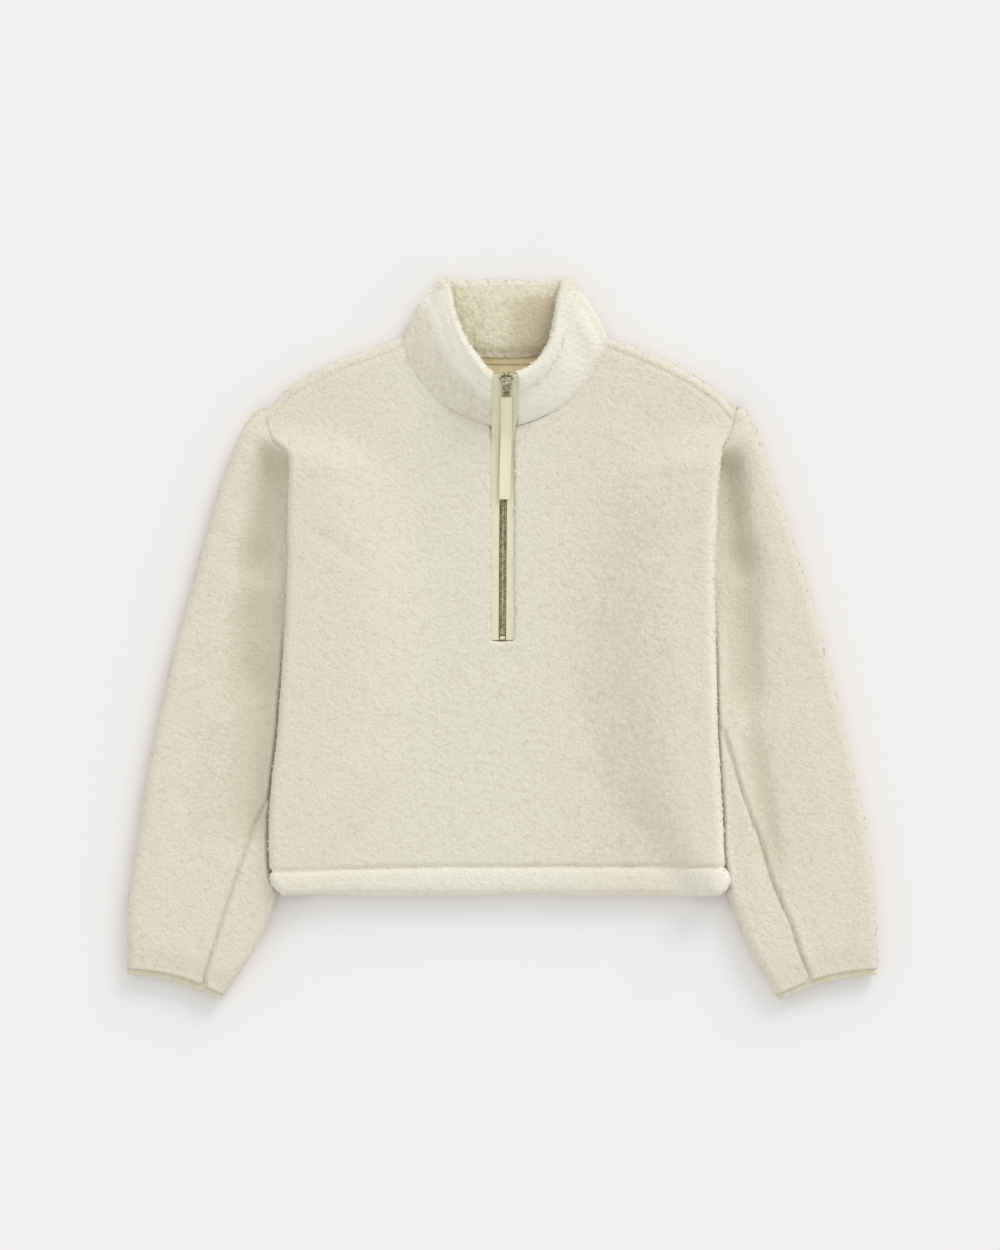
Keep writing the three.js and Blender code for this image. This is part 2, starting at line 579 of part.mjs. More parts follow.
/** Slider body: two plates joined at their upper end, with the bridge that holds the pull. Its own frame. */
function slider() {
  const { length, width, thick, channel, bridge } = SLIDER;
  const outline = [
    [-width * 0.32, -length / 2],
    [width * 0.32, -length / 2],
    [width * 0.42, 0],
    [width / 2, length * 0.32],
    [width * 0.3, length / 2],
    [-width * 0.3, length / 2],
    [-width / 2, length * 0.32],
    [-width * 0.42, 0],
  ];
  const { low, wide, narrow, sunk } = POST;
  const wedge = [[-wide, low], [wide, low], [narrow, length / 2], [-narrow, length / 2]];
  const post = prism(wedge, -channel / 2 - sunk, channel / 2 + sunk);
  const passage = box(2 * width, 2 * length, channel, 0, 0, 0);
  const body = prism(outline, -thick / 2, thick / 2).subtract(passage).add(post);
  const eye = box(EYE.width, EYE.length, EYE.height, 0, BRIDGE.along, PIN.up);
  const middle = (thick + bridge) / 2 - BRIDGE.sunk;
  const arch = box(BRIDGE.width, BRIDGE.length, bridge, 0, BRIDGE.along, middle).subtract(eye);
  return geometryOf(body.add(arch));
}

/** Loop of the pull: a pin through the slider's eye, two arms beside the bridge and a bar to the strip. */
function pullLoop() {
  const { arm, half, thick, bar: depth, armWidth, above, overlap } = LOOP;
  const width = 2 * half + armWidth;
  const pin = solid(new THREE.CylinderGeometry(PIN.radius, PIN.radius, width, 12).rotateZ(Math.PI / 2));
  const arms = [-1, 1].map((sign) => box(armWidth, arm, thick, sign * half, above - arm / 2, 0));
  const bar = box(width, depth, thick, 0, overlap - arm - depth / 2, 0);
  return geometryOf(pin.add(arms[0]).add(arms[1]).add(bar));
}

/** Tape over the back neck seam, on the inside of the back. */
function neckTape() {
  const { reach, near, far, thick } = NECK_TAPE;
  const grid = (z) =>
    steps(-reach, reach, 16).map((x) =>
      [far, near].map((below) => vec(NECK_X + x, neckBack(Math.abs(x)) - below, z)),
    );
  return wall(grid(BACK_CLOTH + SEAM_GAP + thick), grid(BACK_CLOTH + SEAM_GAP));
}

/** Metal stop across both tapes under the chain. */
function bottomStop() {
  const top = CHAIN.bottom - SEAM_GAP;
  const { x, width, thick } = BOTTOM_STOP;
  return new THREE.BoxGeometry(width, top - ZIP[0].y, thick).translate(x, (top + ZIP[0].y) / 2, ZIP[0].z);
}

function piece(name, geometry, material) {
  const mesh = new THREE.Mesh(geometry, material);
  mesh.name = name;
  return mesh;
}

const pullover = new THREE.Group();
pullover.add(
  piece("front", front(), FLEECE),
  piece("back", back(), FLEECE),
  piece("collar", collar(), FLEECE),
  piece("neck_tape", neckTape(), SMOOTH_TAPE),
  piece("zip_chain", zipChain(), DARK_METAL),
  piece("zip_bottom_stop", bottomStop(), BRIGHT_METAL),
  piece("pull_strip", pullStrip(), PULL_STRIP),
);
for (const side of Object.keys(SIDES)) {
  pullover.add(piece("sleeve_" + side, sleeve(side), FLEECE));
  pullover.add(piece("cuff_binding_" + side, cuffBinding(side), BINDING_CLOTH));
  pullover.add(piece("zip_tape_" + side, zipTape(side), ZIP_TAPE));
}

const sliderSeat = new THREE.Group();
sliderSeat.position.set(zipColumn.middle(SLIDER.y), SLIDER.y, zipColumn.z(SLIDER.y));
sliderSeat.rotation.x = sliderSlope;
sliderSeat.add(piece("slider", slider(), BRIGHT_METAL));
const loop = piece("pull_loop", pullLoop(), BRIGHT_METAL);
loop.position.set(0, PIN.along, PIN.up);
loop.rotation.x = PIN.tilt;
sliderSeat.add(loop);
pullover.add(sliderSeat);

// The origin is under the middle of the pullover.
const bounds = new THREE.Box3().setFromObject(pullover, true);
const middle = bounds.getCenter(new THREE.Vector3());
pullover.position.set(-middle.x, -middle.y, -bounds.min.z);

export default pullover;
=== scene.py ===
"""Sherpa fleece half-zip pullover, laid flat on its back: its looks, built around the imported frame.

Tables and shapes are in millimetres in the pattern's own axes (+X across, +Y from hem to collar, +Z up).
Mesh.build moves them into the row frame, in metres.
"""

import logging
import math
from dataclasses import dataclass, field
from enum import Enum
from typing import Any, Callable

import bpy
import numpy as np
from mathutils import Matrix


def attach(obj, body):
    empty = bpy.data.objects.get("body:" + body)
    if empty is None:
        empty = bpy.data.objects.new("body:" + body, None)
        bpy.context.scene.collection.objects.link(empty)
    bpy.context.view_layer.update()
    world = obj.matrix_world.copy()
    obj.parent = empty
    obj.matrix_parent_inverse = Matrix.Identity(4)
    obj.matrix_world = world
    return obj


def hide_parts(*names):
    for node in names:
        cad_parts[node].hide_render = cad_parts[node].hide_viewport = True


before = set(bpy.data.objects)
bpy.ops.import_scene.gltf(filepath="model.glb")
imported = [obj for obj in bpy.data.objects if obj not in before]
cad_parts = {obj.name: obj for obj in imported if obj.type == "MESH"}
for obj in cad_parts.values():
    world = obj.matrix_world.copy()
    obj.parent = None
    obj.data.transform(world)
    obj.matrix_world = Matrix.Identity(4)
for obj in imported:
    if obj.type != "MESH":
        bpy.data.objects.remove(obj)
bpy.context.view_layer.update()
LOG = logging.getLogger("pullover")

Array = np.ndarray
Colour = tuple[float, float, float]
Place = tuple[float, float, float]

MM = 0.001
PAINTED_LIGHT_GAIN = 3.0  # what the pile's height attribute gains per unit of painted highlight, and loses per unit of painted shade
SHIFT = np.array([-0.75, 1.0768, 0.0])  # from the pattern's axes to the middle of the whole pullover
SEED = 7
POINT_AREA = 2.6  # mm2 of cloth for each point of its grid

CLOTH = 7.0  # wall of the front, with its pile
BACK_CLOTH = 6.5
LAYER_GAP = 2.5  # air between back and front
ROLL_CORE = 1.0  # radius of the hollow round which a side rolls
HEM_Y = -257.5
SHOULDER_END_Y = 215.0  # where shoulder seam and armhole seam meet
CORE_TOP_Y = 170.0  # above it the panels flare out along the armhole
FLARE_POWER = 6
SEAM_CLOTH = 4.6  # the wall where a seam draws it thin
SEAM_REACH = 7.0  # mm from the seam over which it does
HEM_FOLD = 4.0  # thickness of the hem's fold
SLEEVE_TUCKED = 13.5  # height of a sleeve pressed under the body
SLEEVE_LOFT = 6.0  # what it gains beside the body
BODY_LIFT = 14.3  # how far the sleeves raise the body's sides
ARMHOLE_SHOWS_Y = 157.0  # above it the armhole seam is in view
NECK_X = 3.5  # middle of the neck
SLOT_LEFT, SLOT_RIGHT, SLOT_BOTTOM = -9.3, 11.9, -2.0  # the front's slit for the zip
ROLL_END = math.radians(138)  # how far round a fully rolled side goes
BACK_ROLL = math.radians(31)
SHOULDER_TURN = math.radians(191)  # how far round the back's shoulder goes to lie in front

BODY_EDGE = np.array(  # y, left, right: half width at the folded sides, then out along the armhole seam
    [
        (-256, 222.5, 222), (-240, 230, 225.5), (-219, 232.7, 222.7), (-168, 231.5, 220.5), (-100, 224.7, 216.5),
        (0, 217, 214), (72, 214.2, 213.5), (140, 213, 216), (173, 212, 219), (183, 214.5, 221), (190, 221.5, 224),
        (198, 231.5, 229.5), (215, 239.5, 237),
    ]
)
SHOULDER = np.array(  # out, left, right, roll: shoulder seam, and how far the back rolls forward
    [
        (100, 293, 293.5, 11), (130, 281, 284, 10.5), (153, 273.5, 275, 10.5), (181, 262.5, 262, 10.5),
        (213, 245, 243, 12), (227, 233, 231, 13), (239.5, 217, 217, 14),
    ]
)
NECK = np.array(  # out, front, back: neck seam from the middle of the neck
    [
        (0, 212, 283), (15, 212.8, 283.2), (36.6, 220, 284), (57, 231, 285.5), (74.6, 245.5, 287),
        (91, 269, 289), (101.5, 290.5, 291),
    ]
)
SLEEVE = np.array(  # outer y, outer left, outer right, inner y, inner left, inner right: armhole to cuff
    [
        (231, -243, 243.5, 36, -150, 150), (212, -257.5, 253.5, 20, -154, 154),
        (158.5, -279.5, 273, -18, -158, 158), (88, -300, 296.5, -68, -169, 168),
        (18.5, -319.5, 316.5, -118, -183, 181), (-51, -337, 335, -168, -198, 196),
        (-121.5, -351.5, 350.5, -218, -212, 211), (-191, -363, 365, -262, -225, 227.5),
        (-260, -373, 374.5, -310, -247, 247.5), (-328.5, -374.5, 376, -355, -277, 275),
    ]
)
HIDDEN_ARMHOLE = np.array(  # y, x, down to the inner edges of the tucked sleeves
    [(215, 239), (190, 216), (170, 200), (154, 191), (134, 183), (94, 171), (50, 161), (10, 157), (-30, 161)]
)
COLLAR = np.array(  # neck seam x, y, z and top edge x, y, z, from the zip round to the middle back
    [
        (12.5, 213.2, 14, 12.5, 259.5, 42.5), (24, 216.2, 14, 21, 264, 41.5), (42, 223.6, 14, 33, 276, 38.5),
        (61, 234.8, 14.2, 44, 294, 34.5), (78, 250.5, 14.6, 51, 315, 30), (90, 268.5, 15.2, 55, 335, 26),
        (97, 284, 15.5, 59, 349, 22), (99.5, 291.5, 12.6, 61.5, 354, 14.3), (95, 292.5, 8, 58, 355, 7.6),
        (74, 288.8, 6.5, 44, 352, 6.5), (38, 285.8, 6.5, 22, 352.4, 6.5), (0, 284.8, 6.5, 0, 352.8, 6.5),
    ]
)
ZIP = np.array(  # y, z, left, middle, right: height of the tapes, their outer edges and the chain's middle
    [
        (-1.5, 12.5, -8.9, 0.8, 11.5), (60, 12.5, -8.9, 1.2, 11.5), (140, 12.5, -8.9, 1.7, 11.5),
        (196, 12.6, -8.9, 2, 11.5), (206, 14.2, -8.9, 2.4, 11.9), (214, 17.9, -8.6, 3, 13.4),
        (222, 22.6, -8.6, 4, 14.6), (230, 27.4, -8.6, 4.6, 15.5), (262, 46.6, -8.6, 4.8, 15.5),
    ]
)


class Side(Enum):
    """The two sides of the pullover, as the viewer sees them."""

    LEFT = -1
    RIGHT = 1


# ---- numbers


def smooth(start: float, end: float, x: Array) -> Array:
    """Rises from 0 at start to 1 at end as t t (3 - 2 t)."""
    t = np.clip((np.asarray(x, float) - start) / (end - start), 0, 1)
    return t * t * (3 - 2 * t)


def lerp(a: Any, b: Any, t: Any) -> Any:
    """The value t of the way from a to b."""
    return a + (b - a) * t


def bell(x: Array, width: float) -> Array:
    """Bell curve exp(-(x / width) squared)."""
    return np.exp(-((x / width) ** 2))


def unit(v: Array) -> Array:
    """Vectors of length one along the last axis."""
    return v / np.maximum(np.linalg.norm(v, axis=-1, keepdims=True), 1e-9)


class Curve:
    """Smooth curve through table rows: cubic Hermite pieces whose slopes join each knot's neighbours."""

    def __init__(self, keys: Array, values: Array) -> None:
        """Sorts the knots by key and works out their slopes.

        Args:
            keys: where the knots lie.
            values: the curve's value at each of them.
        """
        order = np.argsort(keys)
        self.k, self.v = np.asarray(keys, float)[order], np.asarray(values, float)[order]
        after = np.minimum(np.arange(len(order)) + 1, len(order) - 1)
        before = np.maximum(np.arange(len(order)) - 1, 0)
        self.slope = (self.v[after] - self.v[before]) / (self.k[after] - self.k[before])

    def __call__(self, x: Array) -> Array:
        """The curve's value at x, held at its ends.

        Args:
            x: keys at which to read it.

        Returns:
            One value for each key.
        """
        at = np.clip(x, self.k[0], self.k[-1])
        i = np.clip(np.searchsorted(self.k, at) - 1, 0, len(self.k) - 2)
        span = self.k[i + 1] - self.k[i]
        t = (at - self.k[i]) / span
        rise = (2 * t - 3) * t * t
        bend = (t - 1) ** 2 * t * self.slope[i] + (t - 1) * t * t * self.slope[i + 1]
        return self.v[i] * (1 + rise) - self.v[i + 1] * rise + bend * span


class Spline:
    """Curve in space through points, with knots spaced by a power of the distance between them."""

    def __init__(self, points: Array, chordal: bool = False) -> None:
        """Adds a point beyond each end and works out every span's cubic.

        Args:
            points: the points it goes through.
            chordal: knots spaced by the distance itself, in place of its square root.
        """
        p = np.vstack([2 * points[0] - points[1], points, 2 * points[-1] - points[-2]])
        gap = np.linalg.norm(np.diff(p, axis=0), axis=1) ** (1.0 if chordal else 0.5)
        a, b, c = gap[:-2, None], gap[1:-1, None], gap[2:, None]
        p0, p1, p2, p3 = p[:-3], p[1:-2], p[2:-1], p[3:]
        m1 = ((p1 - p0) / a - (p2 - p0) / (a + b) + (p2 - p1) / b) * b
        m2 = ((p2 - p1) / b - (p3 - p1) / (b + c) + (p3 - p2) / c) * b
        self.cubic = np.stack([p1, m1, -3 * p1 + 3 * p2 - 2 * m1 - m2, 2 * p1 - 2 * p2 + m1 + m2])

    def __call__(self, t: Array) -> Array:
        """Points at t from 0 to 1.

        Args:
            t: how far along, each span taking an equal share.

        Returns:
            Points, with their coordinates on a new last axis.
        """
        spans = self.cubic.shape[1]
        at = np.clip(np.asarray(t, float), 0, 1) * spans
        i = np.minimum(at.astype(int), spans - 1)
        w = (at - i)[..., None]
        c = self.cubic[:, i]
        return c[0] + c[1] * w + c[2] * w**2 + c[3] * w**3


def scatter(cells: Array, salt: int) -> Array:
    """Repeatable values for whole-number cells: coordinates times large primes, mixed bitwise.

    Args:
        cells: their coordinates.
        salt: which scatter.

    Returns:
        One value from 0 to 1 for each cell.
    """
    h = (cells.astype(np.int64) * np.array([73856093, 19349663, 83492791])).sum(-1) + salt * 7919
    h = (h ^ (h >> 13)) * 1274126177 & 0x7FFFFFFF
    h = (h ^ (h >> 15)) * 668265263 & 0x7FFFFFFF
    return (h & 0xFFFF) / 65535.0


def mist(points: Array, size: Any, salt: int) -> Array:
    """Soft lumps: scattered values at the corners of a lattice, eased between.

    Args:
        points: where to read them.
        size: mm between corners, one for all axes or one each.
        salt: which scatter.

    Returns:
        Values from -1 to 1.
    """
    p = points / np.asarray(size, float)
    base = np.floor(p)
    t = p - base
    t = t * t * (3 - 2 * t)
    total = np.zeros(p.shape[:-1])
    for corner in np.ndindex(2, 2, 2):
        share = np.where(np.array(corner) == 1, t, 1 - t).prod(-1)
        total += share * scatter(base + corner, salt)
    return 2 * total - 1


def curls(points: Array, size: float, salt: int) -> Array:
    """Height of the pile: domes about one scattered point in each cell, of which the highest shows.

    Args:
        points: where to read it.
        size: mm from cell to cell.
        salt: which scatter.

    Returns:
        Values from 0 to 1.
    """
    p = points / size
    base = np.floor(p)
    best = np.zeros(p.shape[:-1])
    for near in np.ndindex(3, 3, 3):
        cell = base + np.array(near) - 1
        spot = cell + np.stack([scatter(cell, salt + k) for k in range(3)], -1)
        far = ((p - spot) ** 2).sum(-1)
        reach = 0.5 + 0.45 * scatter(cell, salt + 3)
        best = np.maximum(best, np.clip(1 - far / reach**2, 0, 1) ** 0.75 * (0.65 + 0.35 * reach))
    return best


# ---- meshes


@dataclass
class Mesh:
    """Points and faces of one piece. The nap at each point is the pile's height plus its tone, the painted light
    and shade, times a gain.
    """

    name: str
    points: list[Array] = field(default_factory=list)
    nap_and_painted_light: list[Array] = field(default_factory=list)
    quads: list[Array] = field(default_factory=list)
    dressed: list[Array] = field(default_factory=list)
    count: int = 0
    above: float = 0.0  # no point lies lower, in mm

    def grid(
        self,
        points: Array,
        keep: Array | None = None,
        ring: bool = False,
        finish: Any = 0,
        nap_and_painted_light: Array | None = None,
    ) -> None:
        """Adds a grid of points and the quads between them.

        Args:
            points: rows by columns by 3, so that columns run left where rows run away and faces point up.
            keep: rows - 1 by columns - 1 mask of the quads that are made.
            ring: joins the last column to the first.
            finish: number of the material on it, or one for each quad of a whole grid.
            nap_and_painted_light: the pile's height at each point, plus its painted light and shade.
        """
        rows, cols = points.shape[:2]
        i, j = np.meshgrid(np.arange(rows - 1), np.arange(cols if ring else cols - 1), indexing="ij")
        right = (j + 1) % cols
        quads = np.stack([i * cols + j, i * cols + right, (i + 1) * cols + right, (i + 1) * cols + j], -1)
        quads = quads.reshape(-1, 4) if keep is None else quads[keep]
        self.add(points.reshape(-1, 3), quads, finish, nap_and_painted_light)

    def add(self, points: Array, quads: Array, finish: Any = 0, nap_and_painted_light: Array | None = None) -> None:
        """Adds points and faces.

        Args:
            points: their places.
            quads: four indices a face. A triangle repeats its last one.
            finish: number of the material on them, or one for each.
            nap_and_painted_light: the pile's height at each point, plus its painted light and shade, or none for
                0.5.
        """
        self.points.append(points.reshape(-1, 3))
        self.nap_and_painted_light.append(np.full(points.size // 3, 0.5) if nap_and_painted_light is None else np.ravel(nap_and_painted_light))
        self.quads.append(quads.reshape(-1, 4) + self.count)
        self.dressed.append(np.broadcast_to(np.ravel(finish), (quads.size // 4,)))
        self.count += points.size // 3

    def build(self, materials: list[bpy.types.Material]) -> bpy.types.Object:
        """Makes the object, smooth, in metres in the row frame and without its unused points.

        Args:
            materials: one for each finish number.

        Returns:
            The new object, linked to the scene.
        """
        points = (np.maximum(np.vstack(self.points), (-np.inf, -np.inf, self.above)) + SHIFT) * MM
        quads, dressed, nap_and_painted_light = np.vstack(self.quads), np.concatenate(self.dressed), np.concatenate(self.nap_and_painted_light)
        used = np.unique(quads)
        index = np.zeros(len(points), np.int64)
        index[used] = np.arange(len(used))
        points, nap_and_painted_light, quads = points[used], nap_and_painted_light[used], index[quads]
        three = quads[:, 2] == quads[:, 3]
        quads = np.vstack([quads[~three], quads[three]])
        dressed = np.concatenate([dressed[~three], dressed[three]])
        four = int((~three).sum())
        corners = np.concatenate([quads[:four].ravel(), quads[four:, :3].ravel()])
        sizes = np.concatenate([np.full(four, 4), np.full(len(quads) - four, 3)])
        mesh = bpy.data.meshes.new(self.name)
        mesh.vertices.add(len(points))
        mesh.vertices.foreach_set("co", points.astype(np.float32).ravel())
        mesh.loops.add(len(corners))
        mesh.loops.foreach_set("vertex_index", corners.astype(np.int32))
        mesh.polygons.add(len(sizes))
        mesh.polygons.foreach_set("loop_start", (np.cumsum(sizes) - sizes).astype(np.int32))
        mesh.polygons.foreach_set("material_index", dressed.astype(np.int32))
        mesh.polygons.foreach_set("use_smooth", np.ones(len(sizes), bool))
        mesh.attributes.new("nap_and_painted_light", "FLOAT", "POINT").data.foreach_set("value", nap_and_painted_light.astype(np.float32))
        for material in materials:
            mesh.materials.append(material)
        mesh.update(calc_edges=True)
        mesh.validate()
        made = bpy.data.objects.new(self.name, mesh)
        bpy.context.scene.collection.objects.link(made)
        LOG.info("%s: %d points, %d faces", self.name, len(points), len(quads))
        return made


def settled(
    mesh: Mesh, materials: list[bpy.types.Material], node: str, body: str = "garment"
) -> bpy.types.Object:
    """Makes a piece that moves with a body and stands for a solid.

    Args:
        mesh: its points and faces.
        materials: its finishes.
        node: the solid that it replaces.
        body: what it moves with.

    Returns:
        The piece.
    """
    made = mesh.build(materials)
    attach(made, body)
    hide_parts(node)
    return made


def normals(points: Array, ring: bool = False) -> Array:
    """Upward normals of a grid: the cross product of its steps along columns and rows.

    Args:
        points: rows by columns by 3.
        ring: the columns close.

    Returns:
        One normal for each point.
    """
    if ring:
        across = np.roll(points, -1, 1) - np.roll(points, 1, 1)
    else:
        across = np.gradient(points, axis=1)
    return unit(np.cross(across, np.gradient(points, axis=0)))


# ---- node trees


class Wire:
    """A socket of a node tree. Arithmetic on it adds Math nodes."""

    def __init__(self, tree: "Tree", socket: bpy.types.NodeSocket) -> None:
        """Keeps the tree and the socket."""
        self.tree, self.socket = tree, socket

    def _math(self, operation: str, *values: Any) -> "Wire":
        """Adds a Math node.

        Args:
            operation: its operation.
            values: wires or numbers for its sockets, in order.

        Returns:
            Its result.
        """
        return self.tree.node("ShaderNodeMath", {"operation": operation}, dict(enumerate(values)))

    def __add__(self, other: Any) -> "Wire":
        """self + other."""
        return self._math("ADD", self, other)

    __radd__ = __add__

    def __sub__(self, other: Any) -> "Wire":
        """self - other."""
        return self._math("SUBTRACT", self, other)

    def __rsub__(self, other: Any) -> "Wire":
        """other - self."""
        return self._math("SUBTRACT", other, self)

    def __mul__(self, other: Any) -> "Wire":
        """self * other."""
        return self._math("MULTIPLY", self, other)

    __rmul__ = __mul__

    def wave(self, period: float) -> "Wire":
        """Sine from 0 to 1 with that period."""
        return self._math("SINE", self * (2 * math.pi / period)) * 0.5 + 0.5

    def eased(self, low: float, high: float, kind: str = "SMOOTHSTEP") -> "Wire":
        """Rises from 0 at low to 1 at high, eased at both ends or LINEAR."""
        values = {"Value": self, "From Min": low, "From Max": high}
        return self.tree.node("ShaderNodeMapRange", {"interpolation_type": kind}, values)


class Tree:
    """The node tree of one material, around one principled shader."""

    def __init__(self, name: str, **constants: Any) -> None:
        """Makes the material.

        Args:
            name: the material's name.
            constants: values set on the shader's own sockets, with _ for spaces.
        """
        self.material = bpy.data.materials.new(name)
        self.material.use_nodes = True
        self.nodes, self.links = self.material.node_tree.nodes, self.material.node_tree.links
        self.shader = self.nodes["Principled BSDF"]
        for key, value in constants.items():
            self.shader.inputs[key.replace("_", " ")].default_value = value

    def node(self, kind: str, settings: dict[str, Any], values: dict[Any, Any], output: Any = 0) -> Wire:
        """Adds a node.

        Args:
            kind: its type.
            settings: its properties, set first.
            values: wires or values for its sockets, by name or number.
            output: name or number of the socket that is wanted.

        Returns:
            That output.
        """
        made = self.nodes.new(kind)
        for key, value in settings.items():
            setattr(made, key, value)
        for key, value in values.items():
            if isinstance(value, Wire):
                self.links.new(value.socket, made.inputs[key])
            else:
                made.inputs[key].default_value = value
        return Wire(self, made.outputs[output])

    def place(self) -> Wire:
        """The point's place on the object, in metres."""
        return self.node("ShaderNodeTexCoord", {}, {}, "Object")

    def axis(self, point: Wire, name: str) -> Wire:
        """One coordinate of a point: X, Y or Z."""
        return self.node("ShaderNodeSeparateXYZ", {}, {"Vector": point}, name)

    def stretched(self, point: Wire, scale: tuple[float, float, float]) -> Wire:
        """A point with its coordinates multiplied by a scale each."""
        return self.node("ShaderNodeVectorMath", {"operation": "MULTIPLY"}, {0: point, 1: scale})

    def noise(self, point: Wire, size: float, detail: float = 2.0, output: str = "Fac") -> Wire:
        """Noise whose lumps are about that many metres across."""
        values = {"Vector": point, "Scale": 1 / size, "Detail": detail}
        return self.node("ShaderNodeTexNoise", {}, values, output)

    def cells(self, point: Wire, size: float) -> Wire:
        """Soft distance to the middle of the nearest cell, with cells about that many metres across."""
        values = {"Vector": point, "Scale": 1 / size}
        return self.node("ShaderNodeTexVoronoi", {"feature": "SMOOTH_F1"}, values, "Distance")

    def warped(self, point: Wire, size: float, reach: float) -> Wire:
        """A point moved by noise.

        Args:
            point: the point.
            size: how large the noise's lumps are, in metres.
            reach: twice how far it moves at most.

        Returns:
            The moved point.
        """
        drift = self.noise(point, size, 1.0, "Color")
        settings = {"operation": "MULTIPLY_ADD"}
        return self.node("ShaderNodeVectorMath", settings, {0: drift, 1: (reach,) * 3, 2: point})

    def value(self, name: str) -> Wire:
        """A number kept at the mesh's points under that name."""
        return self.node("ShaderNodeAttribute", {"attribute_name": name}, {}, "Fac")

    def mix(self, share: Wire, a: Any, b: Any) -> Wire:
        """Colour a where share is 0 and b where it is 1."""
        sides = {6: a if isinstance(a, Wire) else (*a, 1.0), 7: b if isinstance(b, Wire) else (*b, 1.0)}
        return self.node("ShaderNodeMix", {"data_type": "RGBA"}, {0: share, **sides}, 2)

    def bump(self, height: Wire, metres: float) -> Wire:
        """Normal of a relief whose height of 1 stands for that many metres."""
        return self.node("ShaderNodeBump", {}, {"Height": height, "Distance": metres, "Strength": 1.0})

    def finish(self, **sockets: Wire) -> bpy.types.Material:
        """Links wires to the shader's sockets and hands over the material.

        Args:
            sockets: a wire for each socket, with _ for spaces.

        Returns:
            The material.
        """
        for key, wire in sockets.items():
            self.links.new(wire.socket, self.shader.inputs[key.replace("_", " ")])
        return self.material


@dataclass(frozen=True)
class SherpaPile:
    """Curly pile: painted shade, warm and dark, between the curls and in creases, and painted highlight where its
    tone is raised.
    """

    name: str = "sherpa pile"
    cool: Colour = (0.795, 0.768, 0.648)
    warm: Colour = (0.77, 0.725, 0.598)
    # deep: colour of the painted shade between curls and in creases, and of the darker fibres
    deep: Colour = (0.62, 0.56, 0.42)
    # open: colour of the painted highlight, mixed in where a raised tone lifts the nap
    open: Colour = (0.92, 0.905, 0.815)
    curl: float = 0.0034  # metres across
    fibre: float = 0.0013
    relief: float = 0.0013
    aside: float = 0.03  # how far left of the middle the coolest part lies: warmer pile toward the sides is colour, and this shift adds painted shade to the right half
    gap_shade_share: float = 0.36  # how far the painted shade between curls, the fibres and the painted shade in creases go toward the deep colour
    fibre_share: float = 0.62
    crease_shade_share: float = 0.62

    def material(self) -> bpy.types.Material:
        """Builds the material.

        Returns:
            The material, which reads the pile's height from the mesh.
        """
        t = Tree(
            self.name, Roughness=0.95, Specular_IOR_Level=0.15, Sheen_Weight=0.22, Sheen_Roughness=0.5,
            Sheen_Tint=(1.0, 0.97, 0.9, 1.0),
        )
        p = t.place()
        loose = t.warped(p, 0.005, 0.004)
        tops = 1 - t.cells(loose, self.curl)
        fibres = t.noise(t.warped(p, 0.002, 0.002), self.fibre)
        # warmer, darker pile toward the sides and in slow random patches is colour; shifting its middle left by
        # aside puts painted shade on the right half
        far = t.node("ShaderNodeMath", {"operation": "ABSOLUTE"}, {0: t.axis(p, "X") + self.aside})
        warmth = far.eased(0.03, 0.19) * 0.8 + (t.noise(p, 0.05) - 0.5) * 0.5
        ground = t.mix(warmth, self.cool, self.warm)
        nap_and_painted_light = t.value("nap_and_painted_light")
        # painted shade between the curls: where the pile and the curl cells are low, the colour goes toward deep
        low = 1 - (nap_and_painted_light * 0.55 + tops * 0.45).eased(0.12, 0.62)
        # painted shade where the nap falls below 0.5: in creases and recesses with a negative tone, and faintly
        # between the curls
        pressed = (0.5 - nap_and_painted_light).eased(0, PAINTED_LIGHT_GAIN, "LINEAR") * self.crease_shade_share
        colour = t.mix(low * self.gap_shade_share + (fibres - 0.5) * self.fibre_share + pressed, ground, self.deep)
        # painted highlight where a raised tone lifts the nap above 0.9, and faintly on the highest curls
        colour = t.mix((nap_and_painted_light - 0.9).eased(0, PAINTED_LIGHT_GAIN, "LINEAR"), colour, self.open)
        relief = t.bump(tops * 0.8 + fibres * 0.7, self.relief)
        return t.finish(Base_Color=colour, Normal=relief)


@dataclass(frozen=True)
class Weave:
    """Woven or knitted band: threads across and along, with a fine mottle."""

    name: str
    light: Colour
    shade: Colour
    across: float  # metres from thread to thread along X
    along: float  # and along Y
    relief: float = 0.0001
    rough: float = 0.8

    def material(self) -> bpy.types.Material:
        """Builds the material.

        Returns:
            The material, with its threads along X and Y.
        """
        t = Tree(self.name, Roughness=self.rough, Specular_IOR_Level=0.3, Sheen_Weight=0.1)
        p = t.place()
        threads = t.axis(p, "X").wave(self.across) * t.axis(p, "Y").wave(self.along)
        mottle = t.noise(t.stretched(p, (1.0, 0.4, 1.0)), 0.004, 3.0)
        share = mottle.eased(0.3, 0.75) * 0.5 + (1 - threads) * 0.35
        colour = t.mix(share, self.light, self.shade)
        return t.finish(Base_Color=colour, Normal=t.bump(threads, self.relief))


@dataclass(frozen=True)
class Metal:
    """Plated metal: faint scratches, darker in random patches."""

    name: str
    light: Colour
    shade: Colour
    rough: float

    def material(self) -> bpy.types.Material:
        """Builds the material.

        Returns:
            The material.
        """
        t = Tree(self.name, Metallic=1.0)
        p = t.place()
        wear = t.noise(p, 0.003, 3.0)
        scratches = t.noise(t.stretched(p, (1.0, 0.12, 1.0)), 0.0004)
        colour = t.mix(wear.eased(0.35, 0.7), self.light, self.shade)
        rough = scratches * 0.25 + (self.rough - 0.1)
        return t.finish(Base_Color=colour, Roughness=rough, Normal=t.bump(scratches, 0.00002))


